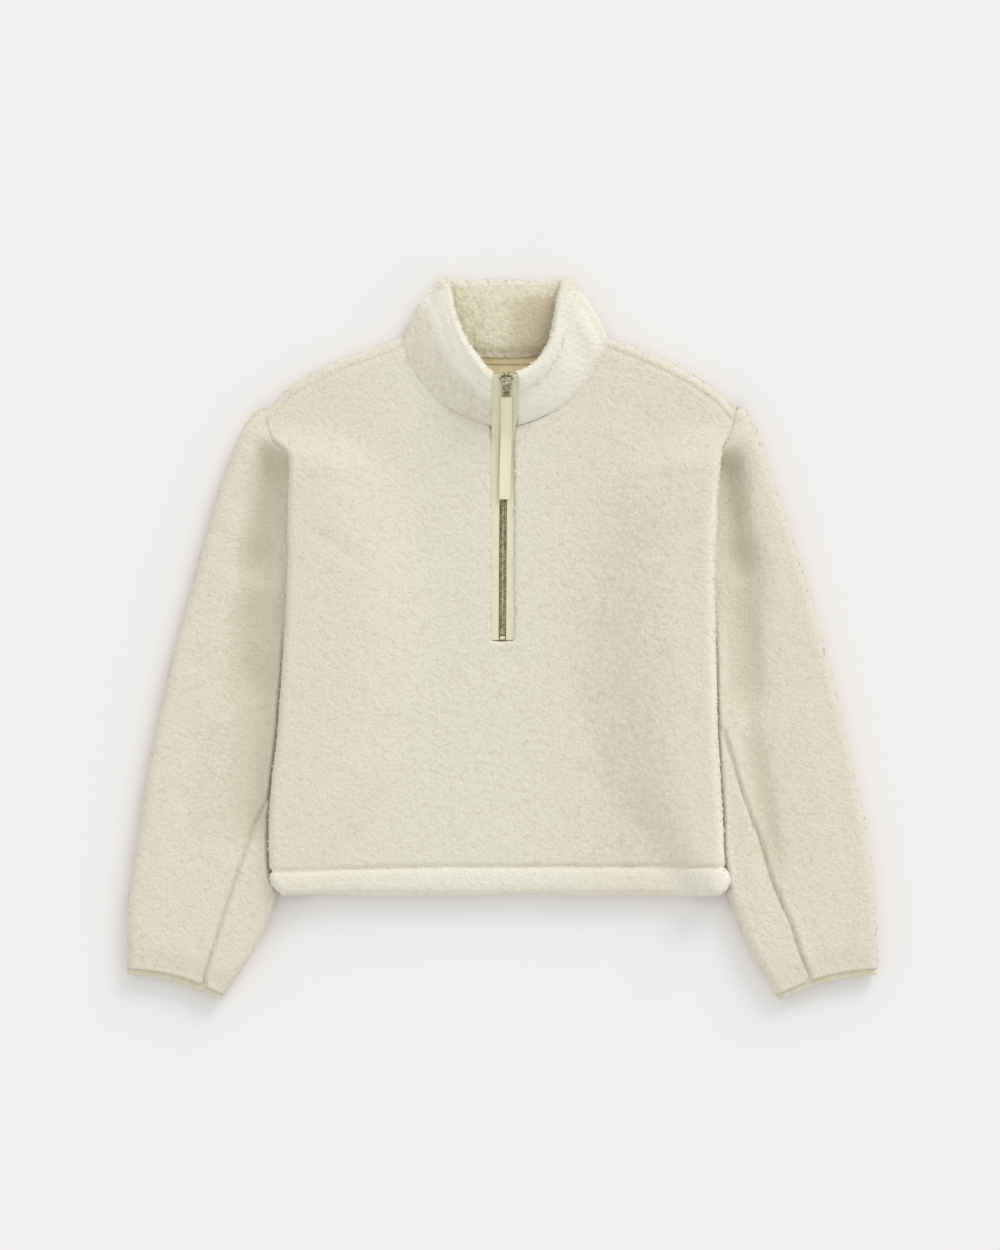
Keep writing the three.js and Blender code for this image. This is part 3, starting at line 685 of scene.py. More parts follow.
@dataclass(frozen=True)
class Paper:
    """Plain pale floor of the studio."""

    name: str = "studio floor"
    tone: Colour = (0.88, 0.873, 0.878)

    def material(self) -> bpy.types.Material:
        """Builds the material.

        Returns:
            The material.
        """
        t = Tree(self.name, Roughness=0.9, Specular_IOR_Level=0.1)
        grain = t.noise(t.place(), 0.002)
        darker = tuple(0.99 * c for c in self.tone)
        return t.finish(Base_Color=t.mix(grain, self.tone, darker))


@dataclass(frozen=True)
class Wardrobe:
    """Every finish of the pullover, made once."""

    pile: bpy.types.Material
    # the pile with painted shade, for the collar's inside
    painted_shade_pile: bpy.types.Material
    knit: bpy.types.Material
    tape: bpy.types.Material
    band: bpy.types.Material
    strip: bpy.types.Material
    dark: bpy.types.Material
    bright: bpy.types.Material
    # darker copy of the nickel: painted shade on the slider's rays
    shadowed: bpy.types.Material

    @staticmethod
    def filled() -> "Wardrobe":
        """Makes the finishes.

        Returns:
            All of them.
        """
        return Wardrobe(
            pile=SherpaPile().material(),
            # painted shade: a darker, warmer copy of the pile for the collar's inside
            painted_shade_pile=SherpaPile(
                "inner pile", cool=(0.825, 0.785, 0.62), warm=(0.775, 0.72, 0.535), deep=(0.55, 0.47, 0.32)
            ).material(),
            knit=Weave(
                "smooth knit", (0.94, 0.84, 0.54), (0.82, 0.71, 0.44), across=0.0011, along=0.0008
            ).material(),
            tape=Weave(
                "zip tape", (0.84, 0.825, 0.615), (0.76, 0.74, 0.54), across=0.0005, along=0.0005
            ).material(),
            band=Weave(
                "elastic binding", (0.80, 0.775, 0.59), (0.66, 0.635, 0.47), 0.0012, 0.0007, relief=0.0002
            ).material(),
            strip=Weave(
                "pull strip", (0.83, 0.815, 0.625), (0.77, 0.75, 0.555), 0.0004, 0.0004, 0.00003, rough=0.55
            ).material(),
            dark=Metal("dark nickel", (0.66, 0.62, 0.44), (0.34, 0.31, 0.21), rough=0.42).material(),
            bright=Metal("polished nickel", (0.60, 0.56, 0.41), (0.26, 0.24, 0.17), rough=0.25).material(),
            # painted shade: a much darker copy of the nickel for the slider's rays
            shadowed=Metal("nickel rays", (0.22, 0.2, 0.14), (0.08, 0.07, 0.05), rough=0.35).material(),
        )


# ---- pile


def tube(path: Array, radii: Array, sides: int) -> tuple[Array, Array]:
    """A tube with closed ends round a path: at each of its points a ring of that radius, square to the path.

    Args:
        path: points along its middle.
        radii: radius at each point.
        sides: points in a ring.

    Returns:
        Its points and its faces, four indices each.
    """
    ahead = unit(np.gradient(path, axis=0))
    first = unit(np.cross(ahead, np.array([0.31, 0.52, 0.8])))
    second = np.cross(ahead, first)
    angle = np.linspace(0, 2 * math.pi, sides, endpoint=False)[:, None]
    ring = first[:, None] * np.cos(angle) + second[:, None] * np.sin(angle)
    points = path[:, None] + ring * radii[:, None, None]
    i, j = np.meshgrid(np.arange(len(path) - 1), np.arange(sides), indexing="ij")
    right = (j + 1) % sides
    quads = np.stack([i * sides + j, i * sides + right, (i + 1) * sides + right, (i + 1) * sides + j], -1)
    return points.reshape(-1, 3), quads.reshape(-1, 4)


def repeat(mesh: Mesh, points: Array, quads: Array, at: Array, axes: Array, nap_and_painted_light: Array | None = None) -> None:
    """Adds a shape at many places: every place plus the shape's points along that place's three axes.

    Args:
        mesh: what it is added to.
        points: the shape.
        quads: its faces.
        at: the places.
        axes: three axes for each place, as rows, with their lengths.
        nap_and_painted_light: the nap at every point of every place.
    """
    placed = at[:, None] + np.einsum("pk,nkc->npc", points, axes)
    index = quads[None] + (np.arange(len(at)) * len(points))[:, None, None]
    mesh.add(placed, index, 0, nap_and_painted_light)


@dataclass
class Curls:
    """Loose curls of yarn where the pile shows in profile: short bent grains that lie every way."""

    spacing: float = 12.0  # mm2 of cloth for each
    profile: float = 0.7  # most of the cloth's upward share where they stand
    size: float = 1.4
    thick: float = 0.8
    sunk: float = 0.45
    most: int = 5000  # in one piece
    stray: float = 0.5  # mm to all sides of its point
    tilt: float = 0.25
    nap_and_painted_light: float = 0.8
    bend: tuple[Place, ...] = ((-1, 0.3, 0), (-0.72, 0.1, 0.05), (0.72, 0.1, 0.05), (1, 0.3, 0))
    radii: tuple[float, ...] = (0.04, 0.85, 0.85, 0.04)

    def sow(
        self, owner: str, points: Array, facing: Array, tone: Array, salt: int, material: bpy.types.Material
    ) -> list[bpy.types.Object]:
        """Sets curls on a piece.

        Args:
            owner: the piece's name.
            points: where they may stand, evenly spread.
            facing: the cloth's direction there.
            tone: the pile's painted light and shade there.
            salt: which scatter.
            material: the finish.

        Returns:
            The pieces that hold them.
        """
        side = np.abs(facing[:, 2]) < self.profile
        points, facing, tone = points[side], facing[side], tone[side]
        path = np.array(self.bend) - (0, 0, self.sunk / self.size)
        shape, faces = tube(path, np.array(self.radii) * self.thick / self.size, 6)
        rng = np.random.default_rng(SEED + salt)
        count = min(int(len(points) * POINT_AREA / self.spacing), len(points))
        chosen = rng.choice(len(points), count, replace=False)
        at, up = points[chosen] + rng.normal(0, self.stray, (count, 3)), facing[chosen]
        up = unit(up + rng.normal(0, self.tilt, (count, 3)))
        aside = unit(np.cross(up, rng.normal(0, 1, (count, 3))))
        scale = self.size * rng.uniform(0.7, 1.25, (count, 1, 1))
        axes = np.stack([aside, np.cross(up, aside), up], 1) * scale
        at[:, 2] = np.maximum(at[:, 2], self.size)
        made = []
        parts = np.array_split(np.argsort(at[:, 1]), math.ceil(count / self.most))
        for k, part in enumerate(parts):
            mesh = Mesh(f"{owner}_pile_{k + 1}")
            nap_and_painted_light = np.repeat(self.nap_and_painted_light + PAINTED_LIGHT_GAIN * tone[chosen[part]], len(shape))
            repeat(mesh, shape, faces, at[part], axes[part], nap_and_painted_light)
            piece = mesh.build([material])
            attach(piece, "garment")
            made.append(piece)
        return made


# ---- body


def pair(table: Array, key: int, left: int, right: int) -> dict[Side, Curve]:
    """Curves of a table's columns for the left and the right side."""
    return {side: Curve(table[:, key], table[:, column]) for side, column in zip(Side, (left, right))}


EDGE = pair(BODY_EDGE, 0, 1, 2)
SHOULDER_SEAM = pair(SHOULDER, 0, 1, 2)
SHOULDER_ROLL = Curve(SHOULDER[:, 0], SHOULDER[:, 3])
NECK_FRONT = Curve(NECK[:, 0], NECK[:, 1])
NECK_BACK = Curve(NECK[:, 0], NECK[:, 2])
TUCK_ROWS = np.vstack([HIDDEN_ARMHOLE[:, [0, 1, 1]], SLEEVE[4:, 3:] * [1, -1, 1]])
TUCK = pair(TUCK_ROWS, 0, 1, 2)


def by_side(curves: dict[Side, Curve], x: Array, key: Array) -> Array:
    """Reads the curve of the side on which x lies."""
    return np.where(x < 0, curves[Side.LEFT](key), curves[Side.RIGHT](key))


def turned(y: Array) -> Array:
    """How far a body side is rolled: 0.6 along the armhole seam, eased to 1 below it."""
    return lerp(0.6, 1.0, smooth(198, 164, y))


def under_shoulder(y: Array) -> Array:
    """How far the sleeves lift the body at a height: 1 over most of it, eased to 0 at the shoulder."""
    return smooth(222, 168, y)


def lift(x: Array, y: Array) -> Array:
    """Height of the body's underside: 0 in the middle, eased up to the tucked sleeves at its sides.

    Args:
        x: places across.
        y: places along.

    Returns:
        Height in mm.
    """
    inside = np.abs(x) - by_side(TUCK, x, y)
    ramp = lerp(-100.0, -50.0, smooth(-120, -250, y))  # mm inside the sleeve's edge where it starts to rise
    return BODY_LIFT * smooth(0, 1, (inside - ramp) / (-8 - ramp)) * under_shoulder(y)


def front_top(x: Array) -> Array:
    """Upper end of the front: the neck seam, then the shoulder seam."""
    out = np.abs(x - NECK_X)
    return np.where(out < NECK[-1, 0], NECK_FRONT(out), by_side(SHOULDER_SEAM, x, np.abs(x)))


def back_top(x: Array) -> Array:
    """Upper end of the back: the back neck seam, then where its shoulder starts to roll forward.

    Args:
        x: places across.

    Returns:
        Its y.
    """
    out = np.abs(x - NECK_X)
    seam = by_side(SHOULDER_SEAM, x, np.maximum(np.abs(x), SHOULDER[0, 0]))
    return np.where(out < NECK[-1, 0], NECK_BACK(out), seam)


@dataclass
class BodyPanel:
    """What front and back share: columns in mm from the middle, past flat round the rolled side, rows 0 to 1."""

    flat: float = 214.0  # last flat column
    roll_length: float = 19.0
    straight_to: float = 20.0  # columns keep their place up to here and spread with the width from the next one
    spread_from: float = 120.0
    band_left: float = 25.0  # height of the hem band
    band_middle: float = 29.0
    stitch_depth: float = 2.4
    stitch_width: float = 2.6
    fold_depth: float = 14.0  # how far the turned hem is modelled up inside
    drawn_in: float = 0.4  # of the full thinning, where a top seam draws the cloth in

    def columns(self, knots: list[float], step: float, rolled: int) -> Array:
        """Columns through the given knots.

        Args:
            knots: columns that must be hit, from left to right.
            step: mm between columns.
            rolled: number of columns round each side.

        Returns:
            All columns, from left to right.
        """
        parts = [np.linspace(a, b, max(2, round((b - a) / step)) + 1)[1:] for a, b in zip(knots, knots[1:])]
        side = np.linspace(0, self.roll_length, rolled + 1)[1:]
        return np.concatenate([-self.flat - side[::-1], [knots[0]], *parts, self.flat + side])

    def plan(self, column: Array, row: Array, top: Callable[[Array], Array]) -> tuple[Array, ...]:
        """Place in the plan.

        Args:
            column: mm from the middle.
            row: 0 at the hem, 1 at the top seam.
            top: y of that seam at x.

        Returns:
            x and y, the share of the side's roll, y along the straightened side, and the length up to the top
            seam. x is the column times the body's width there, and its power of six follows the armhole.
        """
        sign = np.where(column < 0, -1.0, 1.0)
        a = np.minimum(np.abs(column) / self.flat, 1)
        y1 = lerp(HEM_Y, SHOULDER_END_Y, row)
        core = by_side(EDGE, column, np.minimum(y1, CORE_TOP_Y))
        flare = by_side(EDGE, column, y1) - core
        width = core - (CLOTH + ROLL_CORE) * np.sin(np.minimum(ROLL_END * turned(y1), math.pi / 2))
        flat = a * self.flat
        wide = 1 + (width / self.flat - 1) * smooth(self.straight_to, self.spread_from, flat)
        x = sign * (flat * wide + a**FLARE_POWER * flare)
        top_core = by_side(EDGE, column, np.array(CORE_TOP_Y))
        top_flare = by_side(EDGE, column, np.array(SHOULDER_END_Y)) - top_core
        top_x = sign * (a * top_core + a**FLARE_POWER * top_flare)
        wave = 0.9 * np.sin(x / 37 + 1.0) + 0.6 * np.sin(x / 17)
        end = top(top_x)
        y = lerp(HEM_Y, end, row) + wave * (1 - smooth(0, 0.1, row))
        past = np.clip((np.abs(column) - self.flat) / self.roll_length, 0, 1)
        return x, y, past, y1, end - y

    def wall(self, cloth: float, puff: float, x: Array, up: Array, down: Array) -> Array:
        """Thickness: the cloth, a half sine over the hem band, thin at fold, stitches and seams.

        Args:
            cloth: thickness of the plain cloth.
            puff: what the hem band adds.
            x: place across.
            up: mm above the hem.
            down: mm below the top seam.

        Returns:
            Thickness in mm.
        """
        band = lerp(self.band_middle, self.band_left, smooth(-40, -229, x))
        raised = puff * np.sin(math.pi * np.clip(up / band, 0, 1)) ** 0.6
        stitch = self.stitch_depth * bell(up - band, self.stitch_width)
        fold = (cloth - HEM_FOLD) * (1 - smooth(0, 5, up))
        drawn = (cloth - SEAM_CLOTH) * self.drawn_in * lerp(1.0, 0.4, smooth(0, 30, x) * smooth(110, 90, x))
        return cloth + raised - fold - stitch - drawn * (1 - smooth(0, SEAM_REACH, down))

    def fold(self, outer: Array, inner: Array, steps: int) -> Array:
        """Rows that close the hem: half a circle from the outer face to the inner one, then back up inside.

        Args:
            outer: lowest row of the outer face.
            inner: lowest row of the inner face.
            steps: rows of the half circle.

        Returns:
            Rows from inside to outside.
        """
        angle = np.linspace(0, math.pi, steps + 1)[1:, None, None]
        middle, half = (outer + inner) / 2, (outer - inner) / 2
        down = np.array([0, -HEM_FOLD / 2, 0])
        ring = middle + half * np.cos(angle) + down * np.sin(angle)
        inside = inner + np.array([0, 1.0, 0]) * np.linspace(0, self.fold_depth, 4)[1:, None, None]
        return np.concatenate([ring, inside])[::-1]


@dataclass
class Troughs:
    """Soft troughs and ridges drawn along a line from start to end, so deep and so wide."""

    lines: list[tuple[float, float, float, float, float, float]]
    longest: float = 45.0  # mm over which an end eases off

    def __call__(self, x: Array, y: Array) -> Array:
        """Height that they add: a bell across each line, eased off past its ends.

        Args:
            x: places across.
            y: places along.

        Returns:
            Height in mm.
        """
        total = np.zeros(np.shape(x))
        for x0, y0, x1, y1, height, width in self.lines:
            length = math.hypot(x1 - x0, y1 - y0)
            ux, uy = (x1 - x0) / length, (y1 - y0) / length
            along = (x - x0) * ux + (y - y0) * uy
            across = (x - x0) * uy - (y - y0) * ux
            reach = min(0.35 * length, self.longest)
            ends = smooth(0, reach, along) * smooth(length, length - reach, along)
            total = total + height * bell(across, width) * ends
        return total


@dataclass
class Front(BodyPanel):
    """The front: over the back, rolled under at both sides, slit for the zip, hem turned up."""

    step: float = 1.62  # mm between columns
    rows: int = 293
    puff: float = 2.6  # what the hem band adds
    pile: float = 0.5
    edge_round: float = 4.5  # mm from the slit over which the pile goes down to the tapes
    edge_drop: float = 3.9
    ruffle_left: float = -0.7  # mm that the slit's edges wander
    ruffle_right: float = 1.9
    painted_light_left: float = 0.15  # painted highlight down the left edge, down the right one and over the hem, painted shade on the chest
    painted_light_right: float = 0.55
    painted_light_hem: float = 0.4
    painted_shade_chest: float = 0.13
    creases: Troughs = field(
        default_factory=lambda: Troughs(
            [
                (-4, -6, -30, -44, -1.3, 6.0), (6, -4, 22, -40, -1.1, 6.0), (1, -8, 2, -46, -0.7, 7.0),
                (-205, 120, -120, 60, -1.2, 9.0), (206, 128, 130, 76, -1.2, 9.0), (-200, 160, -140, 150, -1.0, 8.0),
                (200, 166, 138, 160, -0.9, 8.0), (-90, 240, -150, 150, 0.9, 14.0), (96, 240, 150, 150, 0.9, 14.0),
                (-60, -120, 40, -150, -0.6, 16.0), (70, 20, 150, -30, -0.7, 15.0), (-150, -40, -70, -90, 0.7, 16.0),
                (-180, -160, -140, -220, -0.8, 10.0), (170, -150, 140, -215, -0.8, 10.0),
            ]
        )
    )

    def point(self, column: Array, row: Array, outer: bool) -> Array:
        """Points of one face of the wall.

        Args:
            column: mm from the middle.
            row: 0 at the hem, 1 at the top seam.
            outer: the outer face, not the inner one.

        Returns:
            Points: the wall lies a gap above the back, and at the sides goes round a small core.
        """
        x, y, past, y1, down = self.plan(column, row, front_top)
        thick = self.wall(CLOTH, self.puff, x, y - HEM_Y, down)
        angle = past * ROLL_END * turned(y1)
        radius = ROLL_CORE + (thick + self.creases(x, y) * (1 - past) if outer else 0.0)
        low = lift(x, y) + BACK_CLOTH + LAYER_GAP - ROLL_CORE
        sign = np.where(column < 0, -1.0, 1.0)
        return np.stack([x + sign * radius * np.sin(angle), y, low + radius * np.cos(angle)], -1)

    def slit(self, column: Array, points: Array) -> Array:
        """Rounds the pile down to the tapes beside the slit, as a quarter circle, and ruffles its edge.

        Args:
            column: mm from the middle.
            points: the outer face.

        Returns:
            The same points, moved.
        """
        y = points[..., 1]
        beside = np.maximum(np.maximum(SLOT_LEFT - column, column - SLOT_RIGHT), 0)
        below = np.maximum(SLOT_BOTTOM - y, 0)
        near = np.clip(1 - np.hypot(beside, below) / self.edge_round, 0, 1)
        moved = points.copy()
        moved[..., 2] -= self.edge_drop * (1 - np.sqrt(1 - near**2)) + 1.2 * near**3
        ruffle = curls(points * np.array([0.2, 1, 0]), 3.4, 91) - 0.35
        moved[..., 0] -= ruffle * np.where(column > 1, self.ruffle_right, self.ruffle_left) * near**2
        return moved

    def tone(self, column: Array, outer: Array) -> Array:
        """Painted light and shade of the pile: painted highlight bands down the sides and over the hem, a soft
        painted shade bell right of the chest.

        Args:
            column: mm from the middle.
            outer: the outer face.

        Returns:
            Tone, 0 for plain pile.
        """
        x, y = outer[..., 0], outer[..., 1]
        rim = by_side(EDGE, column, np.minimum(y, CORE_TOP_Y)) - np.abs(x)
        sides = np.where(column > 0, self.painted_light_right, self.painted_light_left)
        sides = sides * smooth(16, 3, rim) * smooth(205, 150, y)
        chest = self.painted_shade_chest * bell(x - 135, 62) * smooth(190, 100, y) * smooth(20, 60, rim)
        # painted highlight down the sides and over the hem, less the painted shade right of the chest
        return sides - chest + self.painted_light_hem * smooth(HEM_Y + 31, HEM_Y + 25, y)

    def build(self, wardrobe: Wardrobe) -> bpy.types.Object:
        """Makes the front and dresses it.

        Args:
            wardrobe: the finishes.

        Returns:
            The front.
        """
        columns = self.columns([-self.flat, SLOT_LEFT, SLOT_RIGHT, self.flat], self.step, 12)
        column, row = np.meshgrid(columns, np.linspace(0, 1, self.rows + 1))
        outer, inner = self.point(column, row, True), self.point(column, row, False)
        outer = self.slit(column, outer)
        outer[..., 1] += HEM_FOLD / 2 * (1 - smooth(0, 0.03, row))
        inner[0, :, 1] = outer[0, :, 1]
        points, nap_and_painted_light = piled(outer, self.pile, 11)
        tone = self.tone(column, outer)
        # the painted light and shade join the pile's height
        nap_and_painted_light = nap_and_painted_light + PAINTED_LIGHT_GAIN * tone
        fold = self.fold(points[0], inner[0], 5)
        mesh = Mesh("front_panel")
        whole = np.concatenate([fold, points])
        inside = (column[:-1, :-1] >= SLOT_LEFT - 0.01) & (column[:-1, 1:] <= SLOT_RIGHT + 0.01)
        slot_row = round((SLOT_BOTTOM - HEM_Y) / (NECK[0, 1] - HEM_Y) * self.rows)
        keep = np.ones((len(whole) - 1, len(columns) - 1), bool)
        keep[len(fold) + slot_row :] = ~inside[slot_row:]
        mesh.grid(whole, keep, nap_and_painted_light=np.concatenate([np.full(fold.shape[:2], 0.5), nap_and_painted_light]))
        made = settled(mesh, [wardrobe.pile], "front")
        shown = keep_points(keep[len(fold) :], points.shape)
        loose = Curls().sow("front", points[shown], normals(outer)[shown], tone[shown], 1, wardrobe.pile)
        return made


def keep_points(keep: Array, shape: tuple[int, ...]) -> Array:
    """Finds the corners of kept quads.

    Args:
        keep: rows - 1 by columns - 1 mask of the quads.
        shape: shape of the grid.

    Returns:
        Mask of the grid's points.
    """
    mask = np.zeros(shape[:2], bool)
    for rows, cols in ((slice(None, -1), slice(None, -1)), (slice(1, None), slice(1, None))):
        mask[rows, cols] |= keep
    return mask


def piled(points: Array, pile: float, salt: int, ring: bool = False) -> tuple[Array, Array]:
    """Raises a grid's pile along its normals: curls of two sizes, and slow lumps.

    Args:
        points: the plain face.
        pile: height of the curls in mm.
        salt: which scatter of curls.
        ring: the columns close.

    Returns:
        The raised points and the curls' height from 0 to 1.
    """
    bent = points + 1.3 * np.stack([mist(points, 4.0, salt + k) for k in (50, 51, 52)], -1)
    height = 0.65 * curls(bent, 4.6, salt) + 0.35 * curls(bent, 3.2, salt + 9)
    slow = 0.35 * mist(points, (9, 22, 12), salt + 20) + 0.45 * mist(points, 34, salt + 30)
    return points + normals(points, ring) * (pile * (height - 0.55) + slow)[..., None], height


@dataclass
class Back(BodyPanel):
    """The back: on the surface and over the sleeves, its shoulders rolled forward to the seam."""

    puff: float = 1.6
    pile: float = 0.5
    centre: float = BACK_CLOTH + LAYER_GAP - ROLL_CORE
    seam_beyond: float = 28.0  # mm from where the shoulder starts to roll to its seam
    edge_reach: float = 4.8  # how far the rolled shoulder goes on past its flat part, as the front does
    edge_drop: float = 1.7

    def point(self, column: Array, row: Array, outer: bool) -> Array:
        """Points of one face of the wall.

        Args:
            column: mm from the middle.
            row: 0 at the hem, 1 where the shoulder starts to roll, 2 at the shoulder seam.
            outer: the outer face, not the inner one.

        Returns:
            Points: round a centre line over the surface, outward at the sides and forward at the shoulder.
        """
        over = np.clip(row - 1, 0, 1)
        x, y, past, y1, down = self.plan(column, np.minimum(row, 1), back_top)
        thick = self.wall(BACK_CLOTH, self.puff, x, y - HEM_Y, down + self.seam_beyond)
        radius = np.where(outer, self.centre, self.centre - thick)
        radius = radius + (-1.5 if outer else 0.6) * smooth(0.8, 1, over)
        angle = past * BACK_ROLL * turned(y1) * (1 - 0.9 * over)
        turn = over * SHOULDER_TURN
        reach = radius / self.centre * SHOULDER_ROLL(np.abs(x))
        sign = np.where(column < 0, -1.0, 1.0)
        side = past * smooth(0, 0.3, over)
        z = lift(x, y) + self.centre - radius * np.cos(angle) * np.cos(turn) - self.edge_drop * side**2
        out = radius * np.sin(angle) + self.edge_reach * side
        return np.stack([x + sign * out, y + reach * np.sin(turn), z], -1)

    def build(self, wardrobe: Wardrobe) -> bpy.types.Object:
        """Makes the back and dresses it.

        Args:
            wardrobe: the finishes.

        Returns:
            The back.
        """
        mesh = Mesh("back_panel")
        columns = self.columns([-self.flat, 0, self.flat], 7.0, 6)
        column, row = np.meshgrid(columns, np.linspace(0, 1, 76))
        outer, inner = self.point(column, row, True), self.point(column, row, False)
        outer[0, :, 1] += HEM_FOLD / 2
        inner[0, :, 1] += HEM_FOLD / 2
        mesh.grid(np.concatenate([self.fold(outer[0], inner[0], 5)[3:], outer])[:, ::-1])
        mesh.grid(inner, finish=1)
        shown, facing = [], []
        for side in Side:
            near, far = NECK_X + side.value * NECK[-1, 0], side.value * (self.flat + self.roll_length)
            columns = np.sort(np.linspace(near, far, 84))
            column, row = np.meshgrid(columns, np.linspace(1, 2, 20))
            outer, inner = self.point(column, row, True)[:, ::-1], self.point(column, row, False)
            points, nap_and_painted_light = piled(outer, self.pile, 31)
            mesh.grid(points, nap_and_painted_light=nap_and_painted_light)
            mesh.grid(inner, finish=1)
            shown.append(points.reshape(-1, 3))
            facing.append(normals(outer).reshape(-1, 3))
        made = settled(mesh, [wardrobe.pile, wardrobe.knit], "back")
        tone = np.zeros(sum(map(len, shown)))
        loose = Curls().sow("back", np.vstack(shown), np.vstack(facing), tone, 2, wardrobe.pile)
        return made


# ---- sleeves


@dataclass
class Sleeve:
    """A sleeve with its cuff binding: a flattened tube, pressed where it is tucked under the body."""

    side: Side
    rows: int = 300
    top_columns: int = 74
    edge_columns: int = 9  # round each edge
    under_columns: int = 26
    pile: float = 0.5
    armhole_bow: float = 20.0  # how far its ends curve toward the neck
    cuff_bow: float = 6.0
    loft_over: float = 36.0  # mm beside the body over which it rises to its full loft
    head_rise: float = 2.2  # how far its head stands over the shoulder's edge
    head_width: float = 17.0
    cuff_drop: float = 3.0
    seam_ridge: float = 1.3
    seam_depth: float = 4.2
    tucked: float = 0.3  # share of the head's height that goes down under the body's edge
    under_edge: float = 7.0  # how far under it the head reaches
    binding_low: float = 2.2  # the binding's underside and upper side
    binding_high: float = 13.2
    rib: float = 2.4  # mm from rib to rib of the binding
    inset: float = 1.0  # from the sleeve's edges to the binding's
    seams: dict[Side, list[tuple[float, float]]] = field(
        default_factory=lambda: {
            Side.LEFT: [
                (-226, -140), (-233.5, -160.5), (-247.5, -186.5), (-258.5, -217.5), (-269.5, -249.5),
                (-284.5, -296.5), (-297.5, -337.5),
            ],
            Side.RIGHT: [
                (217.4, -82.5), (226.5, -107), (236.5, -141), (245.7, -168.5), (259.5, -205), (269.5, -240),
                (280, -264.5), (290.3, -287.5), (298, -313.5), (308.2, -336.5),
            ],
        }
    )
    creases: dict[Side, Troughs] = field(
        default_factory=lambda: {
            Side.LEFT: Troughs(
                [
                    (-225, 214, -249, 50, -10.5, 17.0), (-248, 110, -244, -70, -7.0, 20.0),
                    (-238, -10, -246, -215, -4.0, 19.0), (-252, 60, -262, -235, -3.2, 34.0),
                    (-262, 150, -290, -40, 1.6, 14.0), (-292, -60, -318, -250, -1.6, 16.0),
                    (-250, 60, -262, -80, -1.2, 10.0), (-330, -120, -352, -290, 1.0, 12.0),
                    (-262, -60, -300, -110, 0.8, 9.0), (-300, 110, -262, 96, -0.9, 8.0),
                    (-318, -20, -276, -40, -0.7, 9.0), (-345, -150, -300, -170, -0.6, 8.0),
                ]
            ),
            Side.RIGHT: Troughs(
                [
                    (223, 214, 241, 50, -10.5, 16.0), (242, 110, 247, -90, -8.0, 18.0),
                    (248, -50, 274, -250, -3.5, 14.0), (244, -80, 285, -300, -2.4, 12.0),
                    (262, 150, 284, 10, 1.6, 13.0), (300, -30, 330, -240, 1.2, 16.0),
                    (298, 108, 262, 92, -0.9, 8.0), (322, -40, 280, -60, -0.7, 9.0),
                    (350, -170, 306, -190, -0.6, 8.0),
                ]
            ),
        }
    )

    def __post_init__(self) -> None:
        """Draws the outer and the inner edge."""
        column = 1 if self.side is Side.LEFT else 2
        self.outer = Spline(np.stack([SLEEVE[:, column], SLEEVE[:, 0], 0 * SLEEVE[:, 0]], -1))
        self.inner = Spline(np.stack([SLEEVE[:, column + 3], SLEEVE[:, 3], 0 * SLEEVE[:, 0]], -1))

    def plan(self, across: Array, along: Array) -> Array:
        """Place in the plan.

        Args:
            across: 0 at the outer edge, 1 at the inner one.
            along: 0 at the armhole, 1 at the cuff.

        Returns:
            Points between both edges, bowed toward the neck at the armhole and the cuff.
        """
        out = self.outer(along)
        chord = self.inner(along) - out
        t = np.clip(across, 0, 1)
        bow = self.armhole_bow * np.sin(math.pi * t**0.6) * (1 - along) ** 3
        bow = bow + self.cuff_bow * np.sin(math.pi * t) * along**6
        neck = unit(self.side.value * np.stack([chord[..., 1], -chord[..., 0], chord[..., 2]], -1))
        return out + chord * across[..., None] + neck * bow[..., None]

    def height(self, place: Array, along: Array) -> Array:
        """Height over the surface: pressed under the body, eased up to full loft beside it, sooner lower down.

        Args:
            place: points in the plan.
            along: 0 at the armhole, 1 at the cuff.

        Returns:
            Height in mm.
        """
        x, y = place[..., 0], place[..., 1]
        off = np.abs(x) - EDGE[self.side](y)
        loft = smooth(0, self.loft_over, np.maximum(off, HEM_Y - y))
        low = smooth(-2, 4, off) * smooth(40, -60, y)
        loft = lerp(loft, 1.0, low) + 0.3 * bell(off - 3, 5) * low
        raised = BODY_LIFT * under_shoulder(y) + self.head_rise
        head = raised * bell(off, self.head_width) * smooth(170, 192, y) * (1 - 0.5 * loft)
        return SLEEVE_TUCKED + SLEEVE_LOFT * loft + head - self.cuff_drop * smooth(0.95, 1, along)

    def seam(self, x: Array, y: Array) -> Array:
        """Relief of the underarm seam: a narrow bell down across its line, with a soft ridge beside it.

        Args:
            x: places across.
            y: places along.

        Returns:
            Height in mm, eased off toward the seam's upper end.
        """
        line = np.array(self.seams[self.side])
        order = np.argsort(line[:, 1])
        at = np.interp(y, line[order, 1], line[order, 0])
        inside = smooth(line[:, 1].max() + 4, line[:, 1].max() - 22, y)
        off = (x - at) * 0.94
        return inside * (self.seam_ridge * bell(off - 4, 6.0) - self.seam_depth * bell(off, 2.0))

